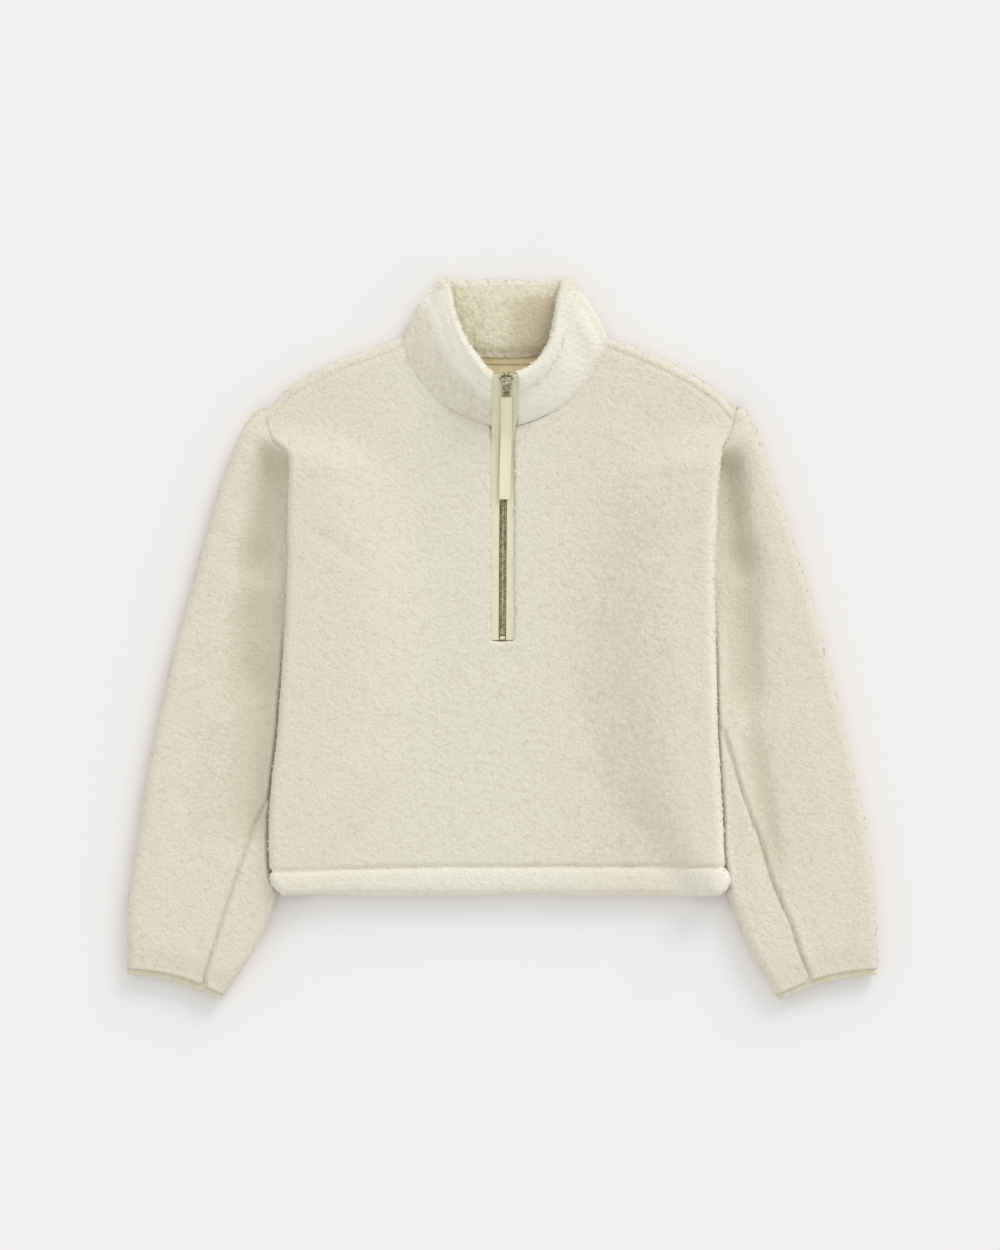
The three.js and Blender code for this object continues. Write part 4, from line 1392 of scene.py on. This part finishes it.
    def ring(self, along: Array) -> tuple[Array, Array]:
        """The tube's face.

        Args:
            along: one value a row.

        Returns:
            Points over the top, in half a circle round each edge and underneath, and each one's share of the
            height, which is also how much of the pile shows.
        """
        s = along[:, None]
        length = np.linalg.norm(self.plan(np.ones_like(s), s) - self.plan(np.zeros_like(s), s), axis=-1)
        h0 = self.height(self.plan(np.zeros_like(s), s), s)
        h1 = self.height(self.plan(np.ones_like(s), s), s)
        over = np.linspace(0, 1, self.top_columns)[None]
        back = np.linspace(1, 0, self.under_columns)[None]
        turn = np.linspace(0, math.pi, self.edge_columns + 2)[1:-1][None]
        first, last = h0 / 2 / length, 1 - h1 / 2 / length
        t = [
            lerp(first, last, over),
            1 - h1 / 2 * (1 - np.sin(turn)) / length,
            lerp(first, last, back),
            h0 / 2 * (1 - np.sin(turn)) / length,
        ]
        t = np.concatenate(t, 1)
        whole = np.broadcast_to(s, t.shape)
        place = self.plan(t, whole)
        up = self.height(place, whole)
        rise = [np.ones_like(over), 0.5 + 0.5 * np.cos(turn), np.zeros_like(back), 0.5 - 0.5 * np.cos(turn)]
        share = np.broadcast_to(np.concatenate(rise, 1), t.shape)
        flat, none, below = np.zeros_like(over), np.zeros_like(turn), np.zeros_like(back)
        end = np.concatenate([flat, none + 1, below, none], 1)
        start = np.concatenate([flat, none, below, none + 1], 1)
        tall = np.where(end > 0, h1, np.where(start > 0, h0, up))
        place = place.copy()
        x, y = place[..., 0], place[..., 1]
        folds = self.creases[self.side](x, y) + self.seam(x, y)
        place[..., 2] = share * (tall + folds * np.sin(0.5 * math.pi * share) ** 4)
        return place, share

    def beside_body(self, points: Array) -> tuple[Array, Array]:
        """Tucks the sleeve's head under the body's edge, and cuts off what lies further in.

        Args:
            points: the tube's face.

        Returns:
            The moved points, and which of them were cut off.
        """
        x, y = points[..., 0] * self.side.value, points[..., 1]
        edge = EDGE[self.side](y)
        limit = edge - self.under_edge
        shows = y > ARMHOLE_SHOWS_Y
        past = shows & (x < limit)
        moved = points.copy()
        moved[..., 0] = np.where(past, limit * self.side.value, points[..., 0])
        tuck = self.tucked * smooth(-2.5, -7, x - edge) * smooth(ARMHOLE_SHOWS_Y, 175, y)
        moved[..., 2] *= 1 - tuck
        return moved, past

    def lip(self, cuff: Array) -> Array:
        """Rows that close the cuff: its last row moved along the sleeve and drawn in, then back up inside.

        Args:
            cuff: the tube's last row.

        Returns:
            Three rows, the outermost first.
        """
        ends = self.plan(np.array([0.5, 0.5]), np.array([0.97, 1.0]))
        away = unit(ends[1] - ends[0])
        middle = (cuff[:, 2].max() + cuff[:, 2].min()) / 2
        rows = []
        for reach, squeeze in ((1.4, 0.86), (1.2, 0.66), (-4.0, 0.55)):
            row = cuff + away * reach
            row[:, 2] = middle + (row[:, 2] - middle) * squeeze
            rows.append(row)
        return np.stack(rows)

    def build(self, wardrobe: Wardrobe) -> list[bpy.types.Object]:
        """Makes sleeve and binding and dresses them.

        Args:
            wardrobe: the finishes.

        Returns:
            Both pieces.
        """
        name = self.side.name.lower()
        along = np.linspace(0.004, 1, self.rows)
        cuff = -1
        if self.side is Side.LEFT:
            along, cuff = along[::-1], 0
        points, share = self.ring(along)
        deep = self.creases[self.side](points[..., 0], points[..., 1])
        # painted shade in the creases: darker where a crease runs deeper than 1 mm, on the upper side
        tone = np.clip(0.07 * (deep + 1.0), -1, 0) * smooth(0.5, 1, share)
        points, past = self.beside_body(points)
        raised, nap_and_painted_light = piled(points, self.pile, 41 + self.side.value, ring=True)
        nap_and_painted_light = nap_and_painted_light + PAINTED_LIGHT_GAIN * tone
        visible = smooth(0.05, 0.4, share)[..., None] * (1 - past[..., None])
        raised = lerp(points, raised, visible)
        raised[..., 2] = np.maximum(raised[..., 2], 0.0)
        lip = self.lip(raised[cuff])
        parts = [raised, lip] if cuff else [lip[::-1], raised]
        hems = np.zeros((len(lip), past.shape[1]))
        gone = np.concatenate([past, hems > 1] if cuff else [hems > 1, past])
        whole_nap_and_painted_light = np.concatenate([nap_and_painted_light, hems + 0.5] if cuff else [hems + 0.5, nap_and_painted_light])
        beside = np.roll(gone, -1, 1)
        keep = ~(gone[:-1] & gone[1:] & beside[:-1] & beside[1:])
        mesh = Mesh(name + "_sleeve")
        mesh.grid(np.concatenate(parts), keep, ring=True, nap_and_painted_light=whole_nap_and_painted_light)
        node = "sleeve_" + name
        sleeve = settled(mesh, [wardrobe.pile], node)
        show = (share > 0.3) & ~past
        facing = normals(points, ring=True)[show]
        loose = Curls().sow(node, raised[show], facing, tone[show], 3 + self.side.value, wardrobe.pile)
        return [sleeve, self.binding(wardrobe, name)]

    def binding(self, wardrobe: Wardrobe, name: str) -> bpy.types.Object:
        """Makes the binding: a flat ring of ribbed band past the sleeve's end, with a rounded lip.

        Args:
            wardrobe: the finishes.
            name: the side's name.

        Returns:
            The binding.
        """
        ends = self.plan(np.array([0.0, 1.0]), np.array([1.0, 1.0]))
        width = float(np.linalg.norm(ends[1] - ends[0]))
        across = unit(ends[1] - ends[0])
        away = np.array([-self.side.value * across[1], self.side.value * across[0], 0.0])
        half = (self.binding_high - self.binding_low) / 2
        span = width - 2 * self.inset
        over, turn = np.linspace(0, 1, 60), np.linspace(0, math.pi, 9)[1:-1]
        first = half / span
        bend = half * (1 - np.sin(turn)) / span
        t = [lerp(first, 1 - first, over), 1 - bend, lerp(1 - first, first, over), bend]
        z = [np.full(60, 1.0), np.cos(turn), np.full(60, -1.0), -np.cos(turn)]
        t, z = np.concatenate(t), np.concatenate(z)
        profile = np.array(  # mm past the sleeve's end, share of the height
            [(-3, 1), (0.3, 1), (3, 1), (6.4, 1), (7.6, 0.9), (8, 0.72), (7.6, 0.5), (6, 0.42), (0, 0.42)]
        )
        place = self.plan(lerp(self.inset / width, 1 - self.inset / width, t), np.ones_like(t))
        ribs = 1 + 0.03 * np.sin(2 * math.pi * t * span / self.rib)
        rows = []
        for down, size in profile:
            height = self.binding_low + half * (1 + z * size * ribs)
            rows.append(place + away * down + np.array([0, 0, 1.0]) * height[:, None])
        grid = np.stack(rows)
        mesh = Mesh(name + "_cuff_binding")
        mesh.grid(grid[::-1] if self.side is Side.LEFT else grid, ring=True)
        made = settled(mesh, [wardrobe.band], "cuff_binding_" + name)
        return made


# ---- collar


@dataclass
class Collar:
    """The collar: doubled fleece from the neck seam up, open at the zip, rolled at its top edge."""

    stations: int = 330
    wall: float = 13.0
    bulge: float = 4.0
    ripple: float = 0.8
    pile: float = 0.5
    leans_right: float = 4.5  # what the opening's lower end is moved to the right
    face_steps: int = 40
    roll_steps: int = 14
    painted_light_right: float = 0.7  # painted light on the right face and painted shade on the left one, painted highlight on the left's raised rim and on the roll, painted shade inside
    painted_light_left: float = -0.08
    painted_light_ridge: float = 0.75
    painted_light_roll: float = 0.6
    painted_shade_inside: float = 0.6

    def __post_init__(self) -> None:
        """Draws the neck seam and the top edge from the zip's left round to its right."""
        left = COLLAR * np.array([-1, 1, 1, -1, 1, 1])
        rows = np.vstack([left, COLLAR[::-1][1:]]) + np.array([NECK_X, 0, 0, NECK_X, 0, 0])
        low, aside = smooth(335, 265, rows[:, 4]), smooth(13, 30, np.abs(rows[:, 3] - NECK_X))
        rows[:, 3] += self.leans_right * low * aside
        self.seam, self.rim = Spline(rows[:, :3], True), Spline(rows[:, 3:], True)

    def profile(self) -> tuple[Array, Array, Array]:
        """The wall's section, from the seam up its outer face, over the roll and down its inner face.

        Returns:
            Share of the collar's height from a little under the seam, mm beyond the top edge, and mm outward
            from the wall's middle, both where the wall stands at the sides and where it leans and its rolled
            rim stands out from a slimmer face.
        """
        half = self.wall / 2
        share = np.linspace(-0.05, 1, self.face_steps)
        knots = np.array([-0.05, 0, 0.12, 0.35, 0.72, 0.86, 1])
        full = Curve(knots, half * np.array([0.5, 0.6, 0.95, 1, 1, 1, 1]))(share)
        slim = Curve(knots, half * np.array([-0.15, 0.22, 0.45, 0.6, 0.66, 1, 1]))(share)
        turn = np.linspace(0, math.pi, self.roll_steps + 2)[1:-1]
        heights = np.concatenate([share, np.ones_like(turn), share[::-1]])
        beyond = np.concatenate([0 * share, half * np.sin(turn), 0 * share])
        outward = [np.concatenate([face, half * np.cos(turn), -full[::-1]]) for face in (full, slim)]
        return heights, beyond, np.stack(outward)

    def face(self, t: Array) -> Array:
        """Points of the wall: between seam and top edge by height, offset along the wall's outward direction.

        Args:
            t: stations from 0 to 1.

        Returns:
            Stations by profile points.
        """
        heights, beyond, outward = self.profile()
        base, top = self.seam(t), self.rim(t)
        rise = top - base
        height = np.linalg.norm(rise, axis=-1)[:, None]
        up = unit(rise)
        step = 1e-3
        after, before = np.minimum(t + step, 1), np.maximum(t - step, 0)
        around = unit(self.rim(after) - self.rim(before)) + unit(self.seam(after) - self.seam(before))
        out = -unit(np.cross(unit(around), up))
        leans = smooth(0.3, 0.8, out[:, 2])[:, None]
        outward = lerp(outward[0], outward[1], leans)
        arch = np.sin(math.pi * heights)
        swell = self.bulge * arch * smooth(-0.7, -0.3, out[:, 2])[:, None] * (1 - 0.7 * leans)
        ripple = self.ripple * np.sin(t * 61)[:, None] * arch * smooth(0.2, 0.6, out[:, 2])[:, None]
        points = base[:, None] + up[:, None] * (heights * height + beyond)[..., None]
        return points + out[:, None] * (outward + swell + ripple)[..., None]

    def tone(self, plain: Array, place: Array) -> Array:
        """Painted light and shade of the pile: painted highlight on the right's face and along the rolled rim,
        painted shade on the right inside.

        Args:
            plain: the wall's face.
            place: number of each profile point.

        Returns:
            Painted light and shade, 0 for plain pile.
        """
        x, y = plain[..., 0], plain[..., 1]
        face, roll = self.face_steps, self.roll_steps
        rim = smooth(0.52 * face, 0.74 * face, place) * smooth(face + roll + 1, face + 0.6 * roll, place)
        left = smooth(10, -10, x)
        ridge = left * bell(place - 0.76 * face, 0.13 * face)
        # painted light on the right face, painted shade on the left face, and a painted highlight along the left's
        # raised ridge
        shade = lerp(self.painted_light_right, self.painted_light_left, left) * (place < face) * smooth(0, 9, place)
        shade = shade + self.painted_light_ridge * ridge
        # painted shade inside the collar, deepest toward the right
        low = smooth(face + roll, face + 1.6 * roll, place) * smooth(354, 326, y)
        low = low * (0.05 + self.painted_shade_inside * smooth(-5, 42, x))
        # painted highlight along the rolled rim
        return lerp(shade, self.painted_light_roll * (smooth(353, 342, y) + ridge), rim) - low

    def build(self, wardrobe: Wardrobe) -> bpy.types.Object:
        """Makes the collar and dresses it.

        Args:
            wardrobe: the finishes.

        Returns:
            The collar.
        """
        fine = np.linspace(0, 1, 2000)
        steps = np.diff(self.seam(fine) + self.rim(fine), axis=0)
        walk = np.concatenate([[0], np.cumsum(np.linalg.norm(steps, axis=1))])
        t = np.interp(np.linspace(0, walk[-1], self.stations), walk, fine)
        plain = self.face(t)
        points, nap_and_painted_light = piled(plain, self.pile, 61)
        points[..., 2] = np.maximum(points[..., 2], 0.0)
        place = np.arange(plain.shape[1])
        tone = self.tone(plain, place)
        # the painted light and shade join the pile's height
        nap_and_painted_light = nap_and_painted_light + PAINTED_LIGHT_GAIN * tone
        flat = plain.copy()
        half = plain.shape[1] // 2
        flat[:, :half] = flat[:, -1 : -half - 1 : -1] = (plain[:, :half] + plain[:, -1 : -half - 1 : -1]) / 2
        caps = []
        for end, sign in ((0, 1.0), (-1, -1.0)):
            rows = [lerp(points[end], flat[end], share) for share in (0.35, 0.75, 1.0)]
            rows = [row + np.array([sign * reach, 0, 0]) for row, reach in zip(rows, (0.9, 1.4, 1.5))]
            caps.append(np.stack(rows if end else rows[::-1]))
        whole = np.concatenate([caps[0], points, caps[1]])
        mesh = Mesh("stand_collar")
        side = np.full(caps[0].shape[:2], 0.5)
        # the inside takes the darker pile: painted shade
        inside = (place[1:] > self.face_steps + self.roll_steps).astype(int)
        finish = np.broadcast_to(inside, (len(whole) - 1, len(place) - 1))
        mesh.grid(whole, nap_and_painted_light=np.concatenate([side, nap_and_painted_light, side]), finish=finish)
        made = settled(mesh, [wardrobe.pile, wardrobe.painted_shade_pile], "collar")
        inner = place >= self.face_steps + self.roll_steps
        loose, facing = [], normals(plain)
        # curls on the inside take the darker pile too: painted shade
        faces = ((~inner, "collar", wardrobe.pile), (inner, "collar_inside", wardrobe.painted_shade_pile))
        for which, name, material in faces:
            shown = (points[..., 2] > 3.0) & which
            loose += Curls().sow(name, points[shown], facing[shown], tone[shown], 9, material)
        return made


@dataclass
class NeckTape:
    """Smooth tape over the back neck seam, sewn along both edges."""

    reach: float = 64.0  # to both sides of the neck's middle
    near: float = -2.5  # its edges, down from the seam
    far: float = 8.4
    low: float = BACK_CLOTH + 0.3
    thick: float = 1.0

    def build(self, wardrobe: Wardrobe) -> bpy.types.Object:
        """Makes the tape: a flat band below the seam's curve, with turned edges and two sewn furrows.

        Args:
            wardrobe: the finishes.

        Returns:
            The tape.
        """
        x = np.linspace(-self.reach, self.reach, 120)
        across = np.array([0, 0, 0.06, 0.13, 0.19, 0.25, 0.5, 0.75, 0.81, 0.87, 0.94, 1, 1])
        rise = np.array([0, 0.6, 1, 0.45, 0.9, 1, 1, 1, 0.9, 0.45, 1, 0.6, 0])
        y = NECK_BACK(np.abs(x))[:, None] - lerp(self.near, self.far, across)
        z = self.low + self.thick * rise + 0 * y
        points = np.stack([NECK_X + x[:, None] + 0 * y, y, z], -1)
        mesh = Mesh("neck_band")
        mesh.grid(points)
        made = settled(mesh, [wardrobe.knit], "neck_tape")
        return made


# ---- zip and pull

ZIP_Z, ZIP_LEFT, ZIP_MIDDLE, ZIP_RIGHT = (Curve(ZIP[:, 0], ZIP[:, k]) for k in (1, 2, 3, 4))


def over_zip(x: Array, y: Array, above: Array) -> Array:
    """Points over the zip's path: its height at y, and from there square up from the tape.

    Args:
        x: places across.
        y: places along.
        above: mm over the tape's middle.

    Returns:
        The points.
    """
    rise = (ZIP_Z(y + 1) - ZIP_Z(y - 1)) / 2
    up = unit(np.stack([0 * rise, -rise, 0 * rise + 1], -1))
    return np.stack([x, y, ZIP_Z(y)], -1) + up * np.asarray(above)[..., None]


def band(mesh: Mesh, y: Array, left: Array, right: Array, low: float, high: float, round_by: float) -> None:
    """Adds a flat band along the zip: a rounded rectangle carried along it and drawn in at both ends.

    Args:
        mesh: what it is added to.
        y: its rows.
        left: its left edge at each row.
        right: its right edge at each row.
        low: its underside over the tape's middle.
        high: its upper side.
        round_by: radius of its corners.
    """
    angle = np.linspace(0, 2 * math.pi, 40, endpoint=False)
    c, s = np.cos(angle), np.sin(angle)
    wide, tall = np.sign(c) * np.abs(c) ** 0.25, np.sign(s) * np.abs(s) ** 0.6
    ends = np.concatenate([[0.02, 0.75], np.ones(len(y)), [0.75, 0.02]])
    past = round_by * np.array([-1, -0.7, 0.7, 1])
    rows = np.concatenate([y[0] + past[:2], y, y[-1] + past[2:]])
    centre, half = np.interp(rows, y, (left + right) / 2), np.interp(rows, y, (right - left) / 2)
    size = half - round_by * (1 - ends)
    x = centre[:, None] + size[:, None] * wide
    above = (low + high) / 2 + (high - low) / 2 * tall * ends[:, None]
    mesh.grid(over_zip(x, rows[:, None] + 0 * x, above)[:, ::-1], ring=True)


@dataclass
class Zip:
    """The closed half zip: two woven tapes, the meshed teeth, the bottom stop and the slider."""

    chain_half: float = 3.3
    chain_thick: float = 2.8
    gap: float = 0.3  # between tape and chain
    tape_thick: float = 1.0
    pitch: float = 1.95  # from tooth to tooth on one tape
    bottom: float = 2.8
    top: float = 255.0
    slider_y: float = 254.0
    slider_length: float = 17.0
    slider_width: float = 11.5
    slider_thick: float = 5.6
    channel: float = 3.5  # between the slider's plates
    under_pile: float = 1.3  # how far the tapes reach under the fleece
    ray_length: float = 3.6
    rays: tuple[tuple[float, float], ...] = (  # degrees round, and how far each reaches
        (4, 6.4), (38, 6.6), (72, 8.2), (108, 8.2), (142, 6.6), (176, 6.4),
    )

    def bar(self, length: float, width: float, height: float) -> tuple[Array, Array]:
        """A bar with rounded ends along X: rings of eight points, drawn in at both ends.

        Args:
            length: its size along X.
            width: along Y.
            height: along Z.

        Returns:
            Its points and its faces, four indices each.
        """
        share = np.array([0.5, 0.9, 1.0, 1.0, 0.9, 0.5])
        x = np.array([-0.5, -0.47, -0.4, 0.4, 0.47, 0.5]) * length
        points, quads = tube(np.stack([x, 0 * x, 0 * x], -1), share, 8)
        angle = np.arange(8) * math.pi / 4 + math.pi / 8
        ring = np.stack([0 * angle, np.cos(angle) * width / 1.85, np.sin(angle) * height / 1.85], -1)
        points = np.stack([x, 0 * x, 0 * x], -1)[:, None] + ring * share[:, None, None]
        end = np.array([[0, 1, 2, 3], [0, 3, 4, 7], [4, 5, 6, 7]])
        return points.reshape(-1, 3), np.vstack([quads, end[:, ::-1], end + 8 * (len(x) - 1)])

    def axes(self, y: Array) -> Array:
        """Axes of the tape: across, along its slope at y, and up, the cross product of both.

        Args:
            y: places along.

        Returns:
            Three rows for each place.
        """
        rise = (ZIP_Z(y + 1) - ZIP_Z(y - 1)) / 2
        along = unit(np.stack([0 * rise, 0 * rise + 1, rise], -1))
        across = np.broadcast_to(np.array([1.0, 0, 0]), along.shape)
        return np.stack([across, along, np.cross(across, along)], 1)

    def teeth(self, wardrobe: Wardrobe) -> bpy.types.Object:
        """Makes the teeth: bars from each tape past the middle, by turns.

        Args:
            wardrobe: the finishes.

        Returns:
            The teeth.
        """
        mesh = Mesh("zip_teeth")
        points, quads = self.bar(self.chain_half * 1.25, self.pitch * 0.62, self.chain_thick)
        for side in Side:
            first = self.bottom + self.pitch * (0.5 if side is Side.LEFT else 1.0)
            y = np.arange(first, self.top, self.pitch)
            x = ZIP_MIDDLE(y) + side.value * self.chain_half * 0.38
            repeat(mesh, points, quads, over_zip(x, y, 0 * y), self.axes(y))
        return settled(mesh, [wardrobe.dark], "zip_chain")

    def tapes(self, wardrobe: Wardrobe) -> list[bpy.types.Object]:
        """Makes the tapes, each a flat band from beside the teeth to under the fleece.

        Args:
            wardrobe: the finishes.

        Returns:
            Both tapes.
        """
        made = []
        y = np.linspace(ZIP[0, 0], ZIP[-1, 0], 150)
        half = self.tape_thick / 2
        for side, far in ((Side.LEFT, ZIP_LEFT), (Side.RIGHT, ZIP_RIGHT)):
            name = side.name.lower()
            near = ZIP_MIDDLE(y) + side.value * (self.chain_half + self.gap)
            under = far(y) + side.value * self.under_pile
            left, right = (under, near) if side is Side.LEFT else (near, under)
            mesh = Mesh(name + "_zip_tape")
            band(mesh, y, left, right, -half, half, 0.4)
            piece = settled(mesh, [wardrobe.tape], "zip_tape_" + name)
            made.append(piece)
        return made

    def stop(self, wardrobe: Wardrobe) -> bpy.types.Object:
        """Makes the bottom stop: a small clamped plate across both tapes.

        Args:
            wardrobe: the finishes.

        Returns:
            The stop.
        """
        mesh = Mesh("bottom_stop")
        points, quads = self.bar(5.2, 3.6, 2.5)
        y = np.array([(self.bottom - self.gap + ZIP[0, 0]) / 2])
        repeat(mesh, points, quads, over_zip(y * 0 + 0.8, y, 0 * y), self.axes(y))
        return settled(mesh, [wardrobe.tape], "zip_bottom_stop")

    def seat(self) -> tuple[Array, Array]:
        """Its middle on the chain and the tape's axes there, where the slider sits."""
        y = np.array([self.slider_y])
        return over_zip(ZIP_MIDDLE(y), y, 0 * y)[0], self.axes(y)[0]

    def pebble(self, mesh: Mesh, outline: Array, low: float, high: float, soft: float) -> None:
        """Adds a plate with rounded edges in the slider's place: its outline, drawn in toward both faces.

        Args:
            mesh: what it is added to.
            outline: its edge, round its middle.
            low: its underside over the chain's middle.
            high: its upper side.
            soft: height of its rounded edges.
        """
        levels = np.array([low, low, low + soft, high - soft, high, high])
        sizes = np.array([0.02, 0.88, 1.0, 1.0, 0.88, 0.02])  # the faces' poles, their edges and the rim
        middle = outline.mean(0)
        flat = middle + (outline - middle) * sizes[:, None, None]
        points = np.concatenate([flat, np.broadcast_to(levels[:, None, None], flat.shape[:2] + (1,))], -1)
        centre, axes = self.seat()
        mesh.grid((centre + points.reshape(-1, 3) @ axes).reshape(points.shape), ring=True)

    def slider(self, wardrobe: Wardrobe) -> bpy.types.Object:
        """Makes the slider: two shield-shaped plates on a wedge, a bridge, and rays that spread over its top.

        Args:
            wardrobe: the finishes.

        Returns:
            The slider.
        """
        mesh = Mesh("zip_slider")
        half, wide = self.slider_length / 2, self.slider_width / 2
        knots = np.array(  # shares of half its width and length, down its right side
            [(0, -1), (0.5, -0.99), (0.66, -0.8), (0.78, -0.2), (0.98, 0.45), (0.95, 0.72), (0.6, 0.97), (0, 1)]
        )
        shape = np.vstack([knots, knots[::-1][1:-1] * [-1, 1]]) * [wide, half]
        shape = np.column_stack([shape, 0 * shape[:, 0]])
        closed = Spline(np.vstack([shape, shape[:1]]))
        outline = closed(np.linspace(0, 1, 57))[:-1, :2]
        thick = self.slider_thick / 2
        self.pebble(mesh, outline, self.channel / 2, thick, 0.35)
        self.pebble(mesh, outline, -thick, -self.channel / 2, 0.35)
        wedge = np.array([(-2.8, 2), (2.8, 2), (2, half - 0.4), (-2, half - 0.4)], float)
        self.pebble(mesh, wedge, -self.channel / 2 - 0.2, self.channel / 2 + 0.2, 0.05)
        centre, axes = self.seat()
        angle = np.linspace(0, math.pi, 17)
        arch = np.stack([0 * angle, -1 - 4.4 * np.cos(angle), thick - 0.4 + 3.9 * np.sin(angle) ** 0.75], -1)
        points, quads = tube(arch, np.full(17, 1.0), 10)
        points[:, 0] *= 1.5
        mesh.add(centre + points @ axes, quads)
        ray, faces = self.bar(self.ray_length, 1.0, 1.4)
        ray[:, 0] += self.ray_length / 2
        for degrees, reach in self.rays:
            c, s = math.cos(math.radians(degrees)), math.sin(math.radians(degrees))
            spoke = np.array([[c, s, 0.1], [-s, c, 0], [0, 0, 1.0]]) @ axes
            root = centre + np.array([0.9 * c, half - 2.4, 1.7]) @ axes
            # the rays take the darker nickel, painted shade
            mesh.add(root + (ray * np.array([reach / self.ray_length, 1, 1])) @ spoke, faces, 1)
        return settled(mesh, [wardrobe.bright, wardrobe.shadowed], "slider")

    def build(self, wardrobe: Wardrobe) -> None:
        """Makes the whole zip.

        Args:
            wardrobe: the finishes.
        """
        self.tapes(wardrobe)
        self.teeth(wardrobe)
        self.stop(wardrobe)
        self.slider(wardrobe)


@dataclass
class Pull:
    """The pull: a wire loop through the slider's bridge and a long flat strip."""

    half: float = 5.7  # half the strip's width
    thick: float = 1.8
    above: float = 2.4  # its underside over the zip's path
    top: float = 242.2
    bottom: float = 139.0
    tilt: float = 7.6  # degrees by which the loop slopes down
    slider: Zip = field(default_factory=Zip)

    def strip(self, wardrobe: Wardrobe) -> bpy.types.Object:
        """Makes the strip: a flat band whose edges are a little thicker.

        Args:
            wardrobe: the finishes.

        Returns:
            The strip.
        """
        mesh = Mesh("flat_pull")
        y = np.linspace(self.bottom + 0.5, self.top - 0.5, 80)
        middle = lerp(3.4, 5.0, smooth(self.bottom, self.top, y))
        band(mesh, y, middle - self.half, middle + self.half, self.above, self.above + self.thick, 0.5)
        for edge in (-1, 1):
            x = middle + edge * (self.half - 0.75)
            band(mesh, y, x - 0.65, x + 0.65, self.above + 0.4, self.above + self.thick + 0.35, 0.4)
        made = settled(mesh, [wardrobe.strip], "pull_strip", body="pull")
        return made

    def loop(self, wardrobe: Wardrobe) -> bpy.types.Object:
        """Makes the loop: a rounded wire frame, tilted a little, with its pin in the bridge's eye.

        Args:
            wardrobe: the finishes.

        Returns:
            The loop.
        """
        centre, axes = self.slider.seat()
        tilt = math.radians(self.tilt)
        down = np.array([[0, -math.cos(tilt), -math.sin(tilt)]])
        corners = np.array([(0, 0), (3.1, 0), (3.1, 2.5), (3.2, 6), (3.3, 9.4), (2.4, 10.3), (0, 10.4)])
        ring = np.vstack([corners, corners[::-1][1:] * [-1, 1]])
        path = ring[:, :1] * np.array([[1.0, 0, 0]]) + (ring[:, 1:] - 0.4) * down + np.array([0, -2.6, 4.7])
        points, quads = tube(path, np.full(len(path), 0.8), 10)
        mesh = Mesh("wire_loop")
        mesh.add(centre + points @ axes, quads)
        return settled(mesh, [wardrobe.bright], "pull_loop", body="pull")


# ---- studio


@dataclass
class Studio:
    """Pale floor, soft light from the upper right, and a camera straight above."""

    camera_height: float = 5.0
    view_length: float = 1.25  # metres seen from top to bottom at the garment's height
    garment_height: float = 0.015
    middle: tuple[float, float] = (-0.00225, 0.01458)
    sensor: float = 36.0
    ambient: float = 0.86
    key: float = 1.2
    key_spread: float = 26.0  # degrees across
    key_from: Place = (1.1, 1.9, 0.95)
    floor_half: float = 4.0  # metres from its middle to its sides
    floor_low: float = 0.0003

    def floor(self) -> None:
        """Lays the floor just under the pullover."""
        line = np.linspace(-self.floor_half, self.floor_half, 5)
        x, y = np.meshgrid(line, line)
        mesh = Mesh("studio_floor", above=-1.0)
        mesh.grid(np.stack([x, y, 0 * x - self.floor_low], -1) / MM - SHIFT)
        mesh.build([Paper().material()])

    def lights(self) -> None:
        """Sets an even pale sky and one broad far lamp to the upper right."""
        world = bpy.data.worlds.new("pale studio")
        world.use_nodes = True
        sky = world.node_tree.nodes["Background"]
        sky.inputs["Color"].default_value = (1.0, 0.99, 0.975, 1.0)
        sky.inputs["Strength"].default_value = self.ambient
        bpy.context.scene.world = world
        lamp = bpy.data.lights.new("key", "SUN")
        lamp.angle, lamp.energy, lamp.color = math.radians(self.key_spread), self.key, (1.0, 0.99, 0.96)
        placed = bpy.data.objects.new("key", lamp)
        placed.location = self.key_from
        placed.rotation_euler = (-placed.location).to_track_quat("-Z", "Y").to_euler()
        bpy.context.scene.collection.objects.link(placed)

    def camera(self) -> None:
        """Hangs the camera straight above, with a long lens that takes in the photo's frame."""
        lens = bpy.data.cameras.new("camera")
        lens.sensor_width = self.sensor
        lens.lens = self.sensor * (self.camera_height - self.garment_height) / self.view_length
        lens.clip_end = 100.0
        placed = bpy.data.objects.new("camera", lens)
        placed.location = (*self.middle, self.camera_height)
        bpy.context.scene.collection.objects.link(placed)
        bpy.context.scene.camera = placed

    def build(self) -> None:
        """Makes floor, lights and camera, and shows colours as they are."""
        self.floor()
        self.lights()
        self.camera()
        bpy.context.scene.view_settings.view_transform = "Standard"


def main() -> None:
    """Builds every piece, from the floor up."""
    logging.basicConfig(level=logging.INFO, format="%(message)s")
    wardrobe = Wardrobe.filled()
    for side in Side:
        Sleeve(side).build(wardrobe)
    Back().build(wardrobe)
    Front().build(wardrobe)
    NeckTape().build(wardrobe)
    Collar().build(wardrobe)
    Zip().build(wardrobe)
    pull = Pull()
    pull.loop(wardrobe)
    pull.strip(wardrobe)
    Studio().build()


if __name__ == "__main__":
    main()
